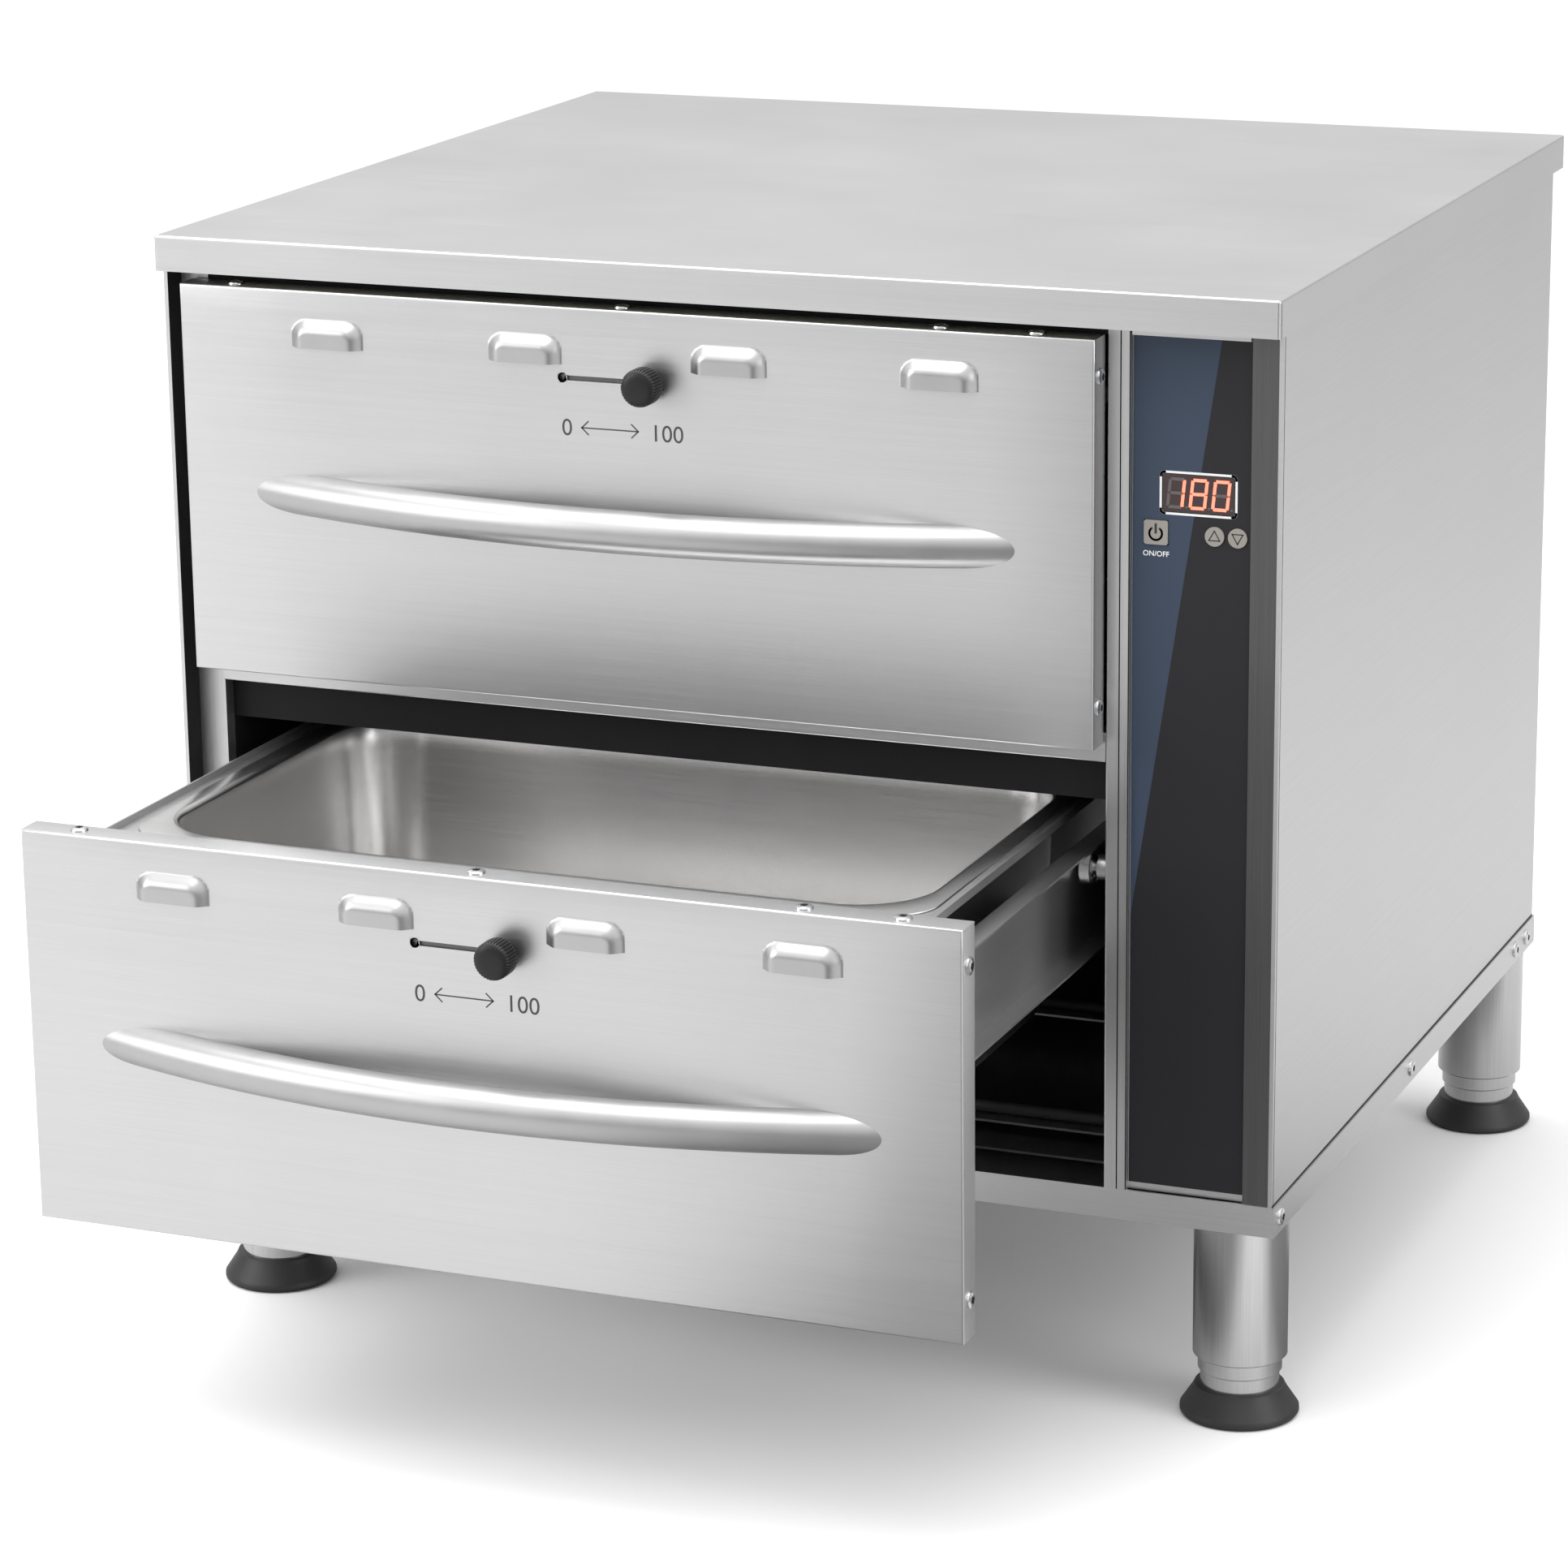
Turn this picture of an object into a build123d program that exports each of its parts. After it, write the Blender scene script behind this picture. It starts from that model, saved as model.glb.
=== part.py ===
"""Countertop warming drawer: a heated steel cabinet with two food-pan drawers.

Millimetres, +Z up, the front looks along -Y. The origin lies on the surface
that the cabinet stands on, under the middle of its outline as it is drawn:
the upper drawer shut and the lower one pulled part of the way out.
"""
import os
from math import asin, degrees

from build123d import *

os.makedirs("parts", exist_ok=True)

# ------------------------------------------------------------ driving sizes
lid_width = 750.0
lid_depth = 690.0
lid_skirt = 23.0
total_height = 724.0
sheet = 1.5                   # steel sheet of the lid, base and linings
skin = 1.2                    # thinner sheet of the side and back panels

side_inset = 4.0              # lid edge to side panel
rear_inset = 14.0             # lid edge to back panel
hem_width = 2.6               # folded front edge of the side panels
hem_depth = 10.0
wing_reach = 17.0             # left side panel's front edge ahead of the cabinet frame

leg_height = 131.0            # surface to the underside of the base
base_skirt = 20.0

front_thickness = 20.0        # drawer front, face to back
front_height = 254.0
front_lap = 9.0               # left edge of the cavity to the front's left edge
front_short = 1.0             # front's right edge to the divider post
front_gap = 1.0               # back of a closed front to the cabinet frame
front_under_lid = 7.0         # lid skirt to the top of the upper front
front_over_base = 12.0        # how far the lower front hangs over the base
drawer_open = 230.0           # how far the lower drawer is drawn out

stile_width = 19.4
post_width = 15.0             # divider post between cavities and controls
corner_post_width = 17.0
post_depth = 12.0
deck_over_front = 7.0         # lower front's top edge to the hollow deck
deck_lap = 6.5                # upper front's lower edge to the deck's top
rail_height = 19.0            # bright rail in front of the deck
header_height = 7.0
ceiling_drop = 25.0           # lid top to the top of the cavity ceiling
rear_lining = 55.0            # back panel to the cavity's back wall

frame_to_wall = 30.5          # pan support to the side wall of its cavity
carriage_rail_height = 70.0
carriage_rail_drop = 28.0     # front's top edge to the top of its rails
carriage_rail_width = 14.0
carriage_rail_gap = 14.5      # side wall to the open side of a rail
rail_reach = 485.0            # cabinet frame to the far end of the rails
roller_radius = 12.0
roller_width = 8.0
roller_play = 0.3             # roller to the flange that it runs on
axle_radius = 4.0
axle_fit = 0.06
front_roller_y = 30.0         # cabinet frame to the fixed rollers
rear_roller_inset = 19.0      # end of the rails to a drawer's own rollers
runner_start = 50.0
runner_past_rail = 5.0
bracket_plate = 3.0
bracket_reach = 15.0          # roller axle to the front of its bracket
bracket_below = 34.0
bracket_above = 18.0

pan_length = 530.0            # full-size food pan over its rim
pan_width = 325.0
pan_rim = 13.0
pan_depth = 150.0
pan_wall = 1.2
pan_corner = 50.0
pan_taper = 3.0
pan_bottom_radius = 18.0
pan_play = 3.0                # pan body to the opening of its support
pan_lip_play = 8.0            # pan rim to the raised lip of its support
pan_front_gap = 8.0           # drawer front to the support
pan_seat_drop = 9.0           # front's top edge to the seat of the pan rim
lip_height = 4.0
ledge_lap = 12.0              # liner's ledge and rear cross bar under the support

handle_span = 517.0
handle_radius = 13.5
handle_reach = 44.0
handle_height = 121.0         # above the lower edge of the front

louvre_width = 50.5
louvre_height = 18.0
louvre_proud = 6.0
louvre_radius = 12.0
louvre_round = 2.5            # rounding of a louvre's rim
louvre_drop = 36.0            # front's top edge to the foot of a louvre
louvre_pitch = 138.0
louvre_count = 4
louvre_shift = 3.0            # middle of the front to the middle of the louvres

vent_travel = 46.0
vent_drop = 44.5              # front's top edge to the vent slot
vent_shut_right = 19.0        # middle of the front to the knob with its vents shut
keyhole_left = 40.5           # middle of the front to where the stud's head goes in
slot_width = 3.2
keyhole_radius = 3.2
knob_radius = 12.0
knob_length = 20.0
knob_gap = 1.0
stud_radius = 1.3
shutter_height = 44.0
shutter_window = 40.0
shutter_play = 0.3
shutter_ends = 9.0            # shutter past its first and last window
shutter_lap = 2.0             # shutter above its windows

fascia_back = 4.0             # cabinet frame to the control fascia
overlay_sheet = 0.8
overlay_foot = 5.0            # base to the lower edge of the overlay
overlay_head = 7.0            # lid skirt to the top edge of the overlay
overlay_margin = 0.6
display_in = 42.0             # divider post to the middle of the display
display_drop = 102.0          # lid skirt to the middle of the display
display_width = 46.0
display_height = 24.0
power_in = 15.5
arrow_in = (52.5, 67.0)
button_drop = 127.0
power_size = 15.0
arrow_radius = 6.0
button_proud = 1.0
button_play = 0.3
button_flange = 1.2
board_play = 8.0              # fascia to the display's board
board_sheet = 1.6
board_margin = 26.0

controller_width = 58.0
controller_depth = 130.0
controller_height = 150.0
controller_in = 150.0         # cabinet frame to the controller box
controller_rise = 23.5        # deck to the controller box

leg_radius = 30.0
leg_wall = 3.0
leg_length = 91.0
leg_side_inset = 33.0         # lid side to the middle of a leg
leg_end_inset = 32.0          # base end to the middle of a leg
stud_height = 22.0
foot_top_radius = 29.0
foot_radius = 38.0
foot_height = 20.0
sleeve_play = 0.3
sleeve_neck = 1.6
sleeve_inside = 42.0          # sleeve hidden in the leg

element_radius = 4.0
element_bend = 40.0
element_side = 30.0           # left wall to the heating element's bend
element_tail = 14.0           # element past the right wall
element_rows = (110.0, 330.0)
guard_rows = (60.0, 110.0, 330.0)
guard_width = 28.0
guard_height = 18.0
probe_radius = 3.0
probe_length = 60.0
probe_collar = 8.0
probe_y = 520.0
gland_in = 42.0               # divider post to the cord gland
gland_rise = 64.0
gland_radius = 10.0
gland_nut = 14.0
gland_proud = 11.0
gland_inside = 8.0
loom_radius = 5.0
loom_bend = 45.0
loom_out = 30.0               # cavity wall to the wiring loom
loom_up = 40.0                # foot of the controller box to the loom
loom_back = 90.0              # back panel to the loom's drop
wire_hole_play = 0.6

rear_vent_count = 7
rear_vent_pitch = 14.0
rear_vent_height = 5.0
rear_vent_width = 60.0
rear_vent_rise = 250.0

screw_head = 5.6
screw_head_height = 2.2
screw_shank = 2.4
screw_hole_play = 0.2
screw_reach = 3.8
screw_room = 2.0              # insulation to the casing, for the screw ends
base_screw_front = 14.0
base_screw_back = (337.0, 55.0, 23.0)
rear_screw_inset = 40.0
rear_screw_rise = 30.0
front_screws_left = (36.0, 306.0)
front_screws_right = (101.5, 40.0)
side_screw_drop = 24.0
side_screw_rise = 25.0

# --------------------------------------------------- planes worked out of them
frame_half = pan_length / 2 + pan_lip_play + sheet
frame_depth = pan_width + 2 * (pan_lip_play + sheet)
cavity_half = frame_half + frame_to_wall
length_over_all = lid_depth + drawer_open + handle_reach
lid_front = -length_over_all / 2 + drawer_open + handle_reach
lid_rear = lid_front + lid_depth
half_lid = lid_width / 2
frame_front = lid_front + front_thickness + front_gap
body_rear = lid_rear - rear_inset
side_face = half_lid - side_inset
side_inner = side_face - skin
corner_right = side_face - hem_width
stile_left = -corner_right
cavity_left = stile_left + stile_width
cavity_right = cavity_left + 2 * cavity_half
box_centre = (cavity_left + cavity_right) / 2
post_right = cavity_right + post_width
corner_left = corner_right - corner_post_width
front_left = cavity_left - front_lap
front_right = cavity_right - front_short
front_middle = (front_left + front_right) / 2
wall_front = frame_front + post_depth
cavity_rear = body_rear - rear_lining

floor_top = leg_height + sheet
base_top = leg_height + base_skirt
lid_skirt_foot = total_height - lid_skirt
lower_top = base_top - front_over_base + front_height
upper_top = lid_skirt_foot - front_under_lid
under_lid = total_height - sheet
deck_bottom = lower_top + deck_over_front
deck_top = upper_top - front_height + deck_lap
ceiling_top = total_height - ceiling_drop + sheet
ceiling_foot = ceiling_top - sheet
louvre_first = front_middle + louvre_shift - louvre_pitch * (louvre_count - 1) / 2
louvre_places = [louvre_first + louvre_pitch * i for i in range(louvre_count)]
vent_shut_x = front_middle + vent_shut_right
keyhole_x = front_middle - keyhole_left
fascia_face = frame_front + fascia_back
overlay_face = fascia_face - overlay_sheet
fascia_rear = fascia_face + skin
display_x = post_right + display_in
display_z = lid_skirt_foot - display_drop
power_x = post_right + power_in
arrow_x = [post_right + reach for reach in arrow_in]
button_z = lid_skirt_foot - button_drop
gland_x = post_right + gland_in
gland_z = base_top + gland_rise
rail_web = cavity_half - carriage_rail_gap - carriage_rail_width


def slab(x0, x1, y0, y1, z0, z1, mode=Mode.ADD):
    """A plate or block between two corners."""
    with Locations(((x0 + x1) / 2, (y0 + y1) / 2, (z0 + z1) / 2)):
        Box(x1 - x0, y1 - y0, z1 - z0, mode=mode)


def rod(start, direction, radius, length, mode=Mode.ADD):
    """A round bar or hole that starts at a point and runs along an axis."""
    with Locations(Plane(origin=start, z_dir=direction)):
        Cylinder(radius, length, align=(Align.CENTER, Align.CENTER, Align.MIN), mode=mode)


def screws(places, direction, reach=screw_reach):
    """Pan-head screws whose heads stand on the given points."""
    inward = tuple(-step for step in direction)
    for place in places:
        rod(place, inward, screw_shank, reach)
        with Locations(Plane(origin=place, z_dir=direction)):
            Cone(screw_head, screw_head * 0.55, screw_head_height,
                 align=(Align.CENTER, Align.CENTER, Align.MIN))


def screw_holes(places, direction, reach=screw_reach):
    """Clearance holes for the same screws."""
    inward = tuple(-step for step in direction)
    for place in places:
        rod(place, inward, screw_shank + screw_hole_play, reach, mode=Mode.SUBTRACT)


def save(builder, name):
    """Name a finished piece and write it."""
    builder.part.label = name
    export_step(builder.part, f"parts/{name}.step")


# ------------------------------------------------------------------ fasteners
base_length = body_rear - frame_front
base_screw_rows = [base_screw_front] + [base_length - row for row in base_screw_back]
base_screw_z = leg_height + base_skirt / 2
base_screws_right = [(side_face + sheet, frame_front + row, base_screw_z) for row in base_screw_rows]
base_screws_left = [(-x, y, z) for x, y, z in base_screws_right]
rear_screw_x = half_lid - rear_screw_inset
rear_screw_z = (base_top + rear_screw_rise, lid_skirt_foot - rear_screw_rise)
rear_screws = [(x, body_rear, z) for x in (-rear_screw_x, rear_screw_x) for z in rear_screw_z]

# -------------------------------------------------------------- outer casing
with BuildPart() as top_cover:
    slab(-half_lid, half_lid, lid_front, lid_rear, lid_skirt_foot, total_height)
    fillet(top_cover.edges().filter_by(Axis.Z), 2.0)
    fillet(top_cover.faces().sort_by(Axis.Z)[-1].edges(), 1.6)
    slab(-half_lid + sheet, half_lid - sheet, lid_front + sheet, lid_rear - sheet,
         lid_skirt_foot, under_lid, mode=Mode.SUBTRACT)
save(top_cover, "top_cover")

leg_x = half_lid - leg_side_inset
leg_front_y = frame_front + leg_end_inset
leg_rear_y = body_rear + sheet - leg_end_inset
leg_places = {
    "front_left": (-leg_x, leg_front_y),
    "front_right": (leg_x, leg_front_y),
    "rear_left": (-leg_x, leg_rear_y),
    "rear_right": (leg_x, leg_rear_y),
}

with BuildPart() as base_tray:
    slab(-side_face - sheet, side_face + sheet, frame_front, body_rear + sheet,
         leg_height, base_top)
    slab(-side_face, side_face, frame_front + sheet, body_rear,
         floor_top, base_top, mode=Mode.SUBTRACT)
    for x, y in leg_places.values():
        rod((x, y, leg_height), (0, 0, 1), leg_wall * 2 + screw_hole_play, sheet, mode=Mode.SUBTRACT)
    screw_holes(base_screws_right, (1, 0, 0))
    screw_holes(base_screws_left, (-1, 0, 0))
save(base_tray, "base_tray")

# The left panel stands further forward, beside the drawer fronts.
for side, edge, name in ((-1, frame_front - wing_reach, "left_side_panel"),
                         (1, frame_front, "right_side_panel")):
    outer = side * side_face
    inner = side * side_inner
    hem = side * (side_face - hem_width)
    with BuildPart() as side_panel:
        slab(min(outer, inner), max(outer, inner), frame_front, body_rear, floor_top, under_lid)
        slab(min(outer, inner), max(outer, inner), edge, body_rear, base_top, under_lid)
        slab(min(outer, hem), max(outer, hem), edge, frame_front + hem_depth, base_top, under_lid)
        slab(-half_lid, half_lid, frame_front, frame_front + sheet,
             floor_top, base_top, mode=Mode.SUBTRACT)
        screw_holes(base_screws_right if side > 0 else base_screws_left, (side, 0, 0))
    save(side_panel, name)

with BuildPart() as back_panel:
    slab(-side_inner, side_inner, body_rear - skin, body_rear, floor_top, under_lid)
    rod((gland_x, body_rear - skin, gland_z), (0, 1, 0), gland_radius + button_play, skin,
        mode=Mode.SUBTRACT)
    for row in range(rear_vent_count):
        slot_z = base_top + rear_vent_rise + rear_vent_pitch * row
        slab(gland_x - rear_vent_width / 2, gland_x + rear_vent_width / 2, body_rear - skin,
             body_rear, slot_z, slot_z + rear_vent_height, mode=Mode.SUBTRACT)
    screw_holes(rear_screws, (0, 1, 0))
save(back_panel, "back_panel")

# ----------------------------------------------------------------- face frame
with BuildPart() as left_stile:
    slab(stile_left, cavity_left, frame_front + sheet, wall_front, floor_top, under_lid)
    slab(stile_left + sheet, cavity_left - sheet, frame_front + 2 * sheet, wall_front,
         floor_top, under_lid, mode=Mode.SUBTRACT)
save(left_stile, "left_stile")

with BuildPart() as divider_post:
    slab(cavity_right, post_right, frame_front, wall_front, base_top, under_lid)
    slab(cavity_right + sheet, post_right - sheet, frame_front + sheet, wall_front,
         base_top, under_lid, mode=Mode.SUBTRACT)
    fillet(divider_post.faces().sort_by(Axis.Y)[0].edges().filter_by(Axis.Z), 1.2)
save(divider_post, "divider_post")

with BuildPart() as right_corner_post:
    slab(corner_left, corner_right, frame_front + sheet, wall_front, floor_top, under_lid)
    slab(corner_left + sheet, corner_right - sheet, frame_front + 2 * sheet, wall_front,
         floor_top, under_lid, mode=Mode.SUBTRACT)
save(right_corner_post, "right_corner_post")

with BuildPart() as middle_rail:
    slab(cavity_left, cavity_right, frame_front, wall_front + sheet,
         deck_top - rail_height, deck_top)
    slab(cavity_left, cavity_right, frame_front + sheet, wall_front + sheet,
         deck_top - rail_height + sheet, deck_top - sheet, mode=Mode.SUBTRACT)
    fillet(middle_rail.faces().sort_by(Axis.Y)[0].edges().filter_by(Axis.X), 1.2)
save(middle_rail, "middle_rail")

# ------------------------------------------------------------ cavity linings
with BuildPart() as cavity_left_wall:
    slab(cavity_left - sheet, cavity_left, wall_front, cavity_rear, floor_top, under_lid)
save(cavity_left_wall, "cavity_left_wall")

element_levels = [level + guard_height + element_radius + roller_play for level in (floor_top, deck_top)]
probe_levels = [(base_top + deck_bottom) / 2, (deck_top + ceiling_foot) / 2]

with BuildPart() as cavity_right_wall:
    slab(cavity_right, cavity_right + sheet, wall_front, cavity_rear, floor_top, under_lid)
    for level in element_levels:
        for row in element_rows:
            rod((cavity_right, frame_front + row, level), (1, 0, 0),
                element_radius + wire_hole_play, sheet, mode=Mode.SUBTRACT)
    for level in probe_levels:
        rod((cavity_right, frame_front + probe_y, level), (1, 0, 0),
            probe_radius + wire_hole_play, sheet, mode=Mode.SUBTRACT)
save(cavity_right_wall, "cavity_right_wall")

with BuildPart() as cavity_back_wall:
    slab(cavity_left - sheet, cavity_right + sheet, cavity_rear, cavity_rear + sheet,
         floor_top, under_lid)
save(cavity_back_wall, "cavity_back_wall")

with BuildPart() as cavity_ceiling:
    slab(cavity_left, cavity_right, frame_front + sheet, cavity_rear, ceiling_foot, ceiling_top)
    slab(cavity_left, cavity_right, frame_front + sheet, frame_front + 2 * sheet,
         ceiling_top - header_height, ceiling_top)
save(cavity_ceiling, "cavity_ceiling")

deck_front = wall_front + sheet
with BuildPart() as middle_deck:
    slab(cavity_left, cavity_right, deck_front, cavity_rear, deck_bottom, deck_top)
    slab(cavity_left, cavity_right, deck_front + sheet, cavity_rear,
         deck_bottom + sheet, deck_top - sheet, mode=Mode.SUBTRACT)
save(middle_deck, "middle_deck")

with BuildPart() as insulation_slabs:
    slab(-side_inner + screw_room, cavity_left - sheet, wall_front, cavity_rear,
         floor_top, under_lid)
    slab(cavity_left, cavity_right, deck_front, cavity_rear, ceiling_top, under_lid)
    slab(cavity_left, cavity_right, deck_front + sheet, cavity_rear,
         deck_bottom + sheet, deck_top - sheet)
    slab(cavity_left - sheet, cavity_right + sheet, cavity_rear + sheet,
         body_rear - skin - screw_room - sheet, leg_height + stud_height + screw_room, under_lid)
save(insulation_slabs, "insulation_slabs")

# ------------------------------------------------------- heat and temperature
element_end = cavity_right + sheet + element_tail
with BuildPart() as heating_elements:
    for level in element_levels:
        with BuildLine(Plane.XY.offset(level)):
            FilletPolyline(
                (element_end, frame_front + element_rows[0]),
                (cavity_left + element_side, frame_front + element_rows[0]),
                (cavity_left + element_side, frame_front + element_rows[1]),
                (element_end, frame_front + element_rows[1]),
                radius=element_bend,
            )
        with BuildSketch(Plane((element_end, frame_front + element_rows[0], level), z_dir=(-1, 0, 0))):
            Circle(element_radius)
        sweep()
save(heating_elements, "heating_elements")

with BuildPart() as heater_guards:
    for level in (floor_top, deck_top):
        for row in guard_rows:
            guard_y = frame_front + row
            slab(cavity_left, cavity_right, guard_y - guard_width / 2, guard_y + guard_width / 2,
                 level, level + guard_height)
            slab(cavity_left + sheet, cavity_right - sheet, guard_y - guard_width / 2,
                 guard_y + guard_width / 2, level, level + guard_height - sheet, mode=Mode.SUBTRACT)
save(heater_guards, "heater_guards")

with BuildPart() as temperature_probes:
    for level in probe_levels:
        probe_root = (cavity_right + sheet + probe_collar, frame_front + probe_y, level)
        rod(probe_root, (-1, 0, 0), probe_radius, probe_length)
        rod(probe_root, (-1, 0, 0), probe_radius * 2, probe_collar)
save(temperature_probes, "temperature_probes")

# ---------------------------------------------------- runners in the cabinet


def roller_level(front_top):
    """Height of the roller axles below a drawer front's top edge."""
    return front_top - carriage_rail_drop - sheet - roller_play - roller_radius


def across(side, distance):
    """A place across the cavity, measured out from its middle."""
    return box_centre + side * distance


def side_slab(side, near, far, y0, y1, z0, z1, mode=Mode.ADD):
    """A block on the left (-1) or right (+1), between two distances from the cavity's middle."""
    ends = sorted((across(side, near), across(side, far)))
    slab(ends[0], ends[1], y0, y1, z0, z1, mode=mode)


rail_open = rail_web + carriage_rail_width
runner_web = cavity_half - sheet
runner_lip = rail_open + roller_play * 5
runner_inside = roller_radius + roller_play
runner_end = frame_front + rail_reach + runner_past_rail
front_roller_near = rail_web + sheet + 3.0
rear_roller_near = runner_lip + 2.0

with BuildPart() as cabinet_runners:
    for front_top in (lower_top, upper_top):
        axle_z = roller_level(front_top)
        roller_y = frame_front + front_roller_y
        for side in (-1, 1):
            side_slab(side, runner_lip, cavity_half, frame_front + runner_start, runner_end,
                      axle_z - runner_inside - sheet, axle_z + runner_inside + sheet)
            side_slab(side, runner_lip, runner_web, frame_front + runner_start, runner_end - sheet,
                      axle_z - runner_inside, axle_z + runner_inside, mode=Mode.SUBTRACT)
            side_slab(side, cavity_half - bracket_plate, cavity_half, roller_y - bracket_reach,
                      frame_front + runner_start, axle_z - bracket_below, axle_z + bracket_above)
            rod((across(side, cavity_half), roller_y, axle_z), (-side, 0, 0), axle_radius,
                cavity_half - front_roller_near + 1.0)
            rod((across(side, cavity_half), roller_y, axle_z), (-side, 0, 0), axle_radius * 2,
                cavity_half - runner_lip)
save(cabinet_runners, "cabinet_runners")

for front_top, name in ((lower_top, "lower_front_rollers"), (upper_top, "upper_front_rollers")):
    with BuildPart() as fixed_rollers:
        for side in (-1, 1):
            hub = (across(side, front_roller_near), frame_front + front_roller_y, roller_level(front_top))
            rod(hub, (side, 0, 0), roller_radius, roller_width)
            rod(hub, (side, 0, 0), axle_radius + axle_fit, roller_width, mode=Mode.SUBTRACT)
    save(fixed_rollers, name)

# ------------------------------------------------------------ control section
with BuildPart() as control_fascia:
    slab(post_right, corner_left, fascia_face, fascia_rear, base_top, under_lid)
    slab(post_right + overlay_margin, corner_left - overlay_margin, frame_front, fascia_face,
         lid_skirt_foot - overlay_head + overlay_margin, lid_skirt_foot)
    slab(display_x - display_width / 2, display_x + display_width / 2, fascia_face, fascia_rear,
         display_z - display_height / 2, display_z + display_height / 2, mode=Mode.SUBTRACT)
    slab(power_x - power_size / 2 - button_play, power_x + power_size / 2 + button_play,
         fascia_face, fascia_rear, button_z - power_size / 2 - button_play,
         button_z + power_size / 2 + button_play, mode=Mode.SUBTRACT)
    for x in arrow_x:
        rod((x, fascia_face, button_z), (0, 1, 0), arrow_radius + button_play, skin, mode=Mode.SUBTRACT)
save(control_fascia, "control_fascia")

with BuildPart() as graphic_overlay:
    slab(post_right + overlay_margin, corner_left - overlay_margin, overlay_face, fascia_face,
         base_top + overlay_foot, lid_skirt_foot - overlay_head)
    slab(display_x - display_width / 2, display_x + display_width / 2, overlay_face, fascia_face,
         display_z - display_height / 2, display_z + display_height / 2, mode=Mode.SUBTRACT)
    slab(power_x - power_size / 2 - button_play, power_x + power_size / 2 + button_play,
         overlay_face, fascia_face, button_z - power_size / 2 - button_play,
         button_z + power_size / 2 + button_play, mode=Mode.SUBTRACT)
    for x in arrow_x:
        rod((x, overlay_face, button_z), (0, 1, 0), arrow_radius + button_play, overlay_sheet,
            mode=Mode.SUBTRACT)
save(graphic_overlay, "graphic_overlay")

board_face = fascia_rear + board_play
board_left = post_right + board_play
board_right = corner_left - sheet
board_foot = button_z - board_margin
board_head = display_z + board_margin
standoff_radius = 3.0
standoff_inset = standoff_radius + 1.0
with BuildPart() as display_module:
    slab(display_x - display_width / 2 + button_play, display_x + display_width / 2 - button_play,
         overlay_face + button_play, board_face, display_z - display_height / 2 + button_play,
         display_z + display_height / 2 - button_play)
    slab(board_left, board_right, board_face, board_face + board_sheet, board_foot, board_head)
    for x in (board_left + standoff_inset, board_right - standoff_inset):
        for z in (board_foot + standoff_inset, board_head - standoff_inset):
            rod((x, fascia_rear, z), (0, 1, 0), standoff_radius, board_face - fascia_rear)
save(display_module, "display_module")

button_face = overlay_face - button_proud
flange_face = fascia_rear + button_play / 3
with BuildPart() as power_button:
    slab(power_x - power_size / 2, power_x + power_size / 2, button_face, flange_face + button_flange,
         button_z - power_size / 2, button_z + power_size / 2)
    fillet(power_button.edges().filter_by(Axis.Y), 1.5)
    slab(power_x - power_size / 2 - button_flange, power_x + power_size / 2 - 1.0, flange_face,
         flange_face + button_flange, button_z - power_size / 2 - button_flange,
         button_z + power_size / 2 + button_flange)
save(power_button, "power_button")

for x, name in zip(arrow_x, ("up_button", "down_button")):
    with BuildPart() as arrow_button:
        rod((x, button_face, button_z), (0, 1, 0), arrow_radius, flange_face - button_face)
        rod((x, flange_face, button_z), (0, 1, 0), arrow_radius + button_flange * 0.9, button_flange)
    save(arrow_button, name)

controller_left = cavity_right + sheet
controller_front = frame_front + controller_in
controller_rear = controller_front + controller_depth
controller_foot = deck_top + controller_rise
with BuildPart() as controller_box:
    slab(controller_left, controller_left + controller_width, controller_front, controller_rear,
         controller_foot, controller_foot + controller_height)
    fillet(controller_box.edges().filter_by(Axis.X), 4.0)
save(controller_box, "controller_box")

gland_end = body_rear - skin - gland_inside
locknut = gland_inside * 0.75
with BuildPart() as cord_gland:
    rod((gland_x, gland_end, gland_z), (0, 1, 0), gland_radius, gland_inside + skin)
    with Locations(Plane((gland_x, body_rear, gland_z), z_dir=(0, 1, 0))):
        Cylinder(gland_nut, gland_proud * 0.55, align=(Align.CENTER, Align.CENTER, Align.MIN))
    with Locations(Plane((gland_x, body_rear + gland_proud * 0.55, gland_z), z_dir=(0, 1, 0))):
        Cone(gland_nut * 0.85, gland_nut * 0.55, gland_proud * 0.45,
             align=(Align.CENTER, Align.CENTER, Align.MIN))
    rod((gland_x, body_rear - skin, gland_z), (0, -1, 0), gland_nut, locknut)
    rod((gland_x, gland_end, gland_z), (0, 1, 0), loom_radius + button_play,
        gland_proud + skin + gland_inside, mode=Mode.SUBTRACT)
save(cord_gland, "cord_gland")

loom_x = controller_left + loom_out
loom_top = controller_foot + loom_up
loom_rear = body_rear - loom_back
with BuildPart() as wiring_harness:
    with BuildLine():
        FilletPolyline(
            (loom_x, controller_rear, loom_top),
            (loom_x, loom_rear, loom_top),
            (gland_x, loom_rear, gland_z),
            (gland_x, body_rear - skin, gland_z),
            radius=loom_bend,
        )
    with BuildSketch(Plane((loom_x, controller_rear, loom_top), z_dir=(0, 1, 0))):
        Circle(loom_radius)
    sweep()
save(wiring_harness, "wiring_harness")

# -------------------------------------------------------------- legs and feet
leg_foot = leg_height - leg_length
with BuildPart() as leg_tubes:
    for x, y in leg_places.values():
        rod((x, y, leg_foot), (0, 0, 1), leg_radius, leg_length)
        rod((x, y, leg_foot), (0, 0, 1), leg_radius - leg_wall, leg_length - leg_wall,
            mode=Mode.SUBTRACT)
        rod((x, y, leg_height), (0, 0, 1), leg_wall * 2, stud_height)
save(leg_tubes, "leg_tubes")

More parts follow.
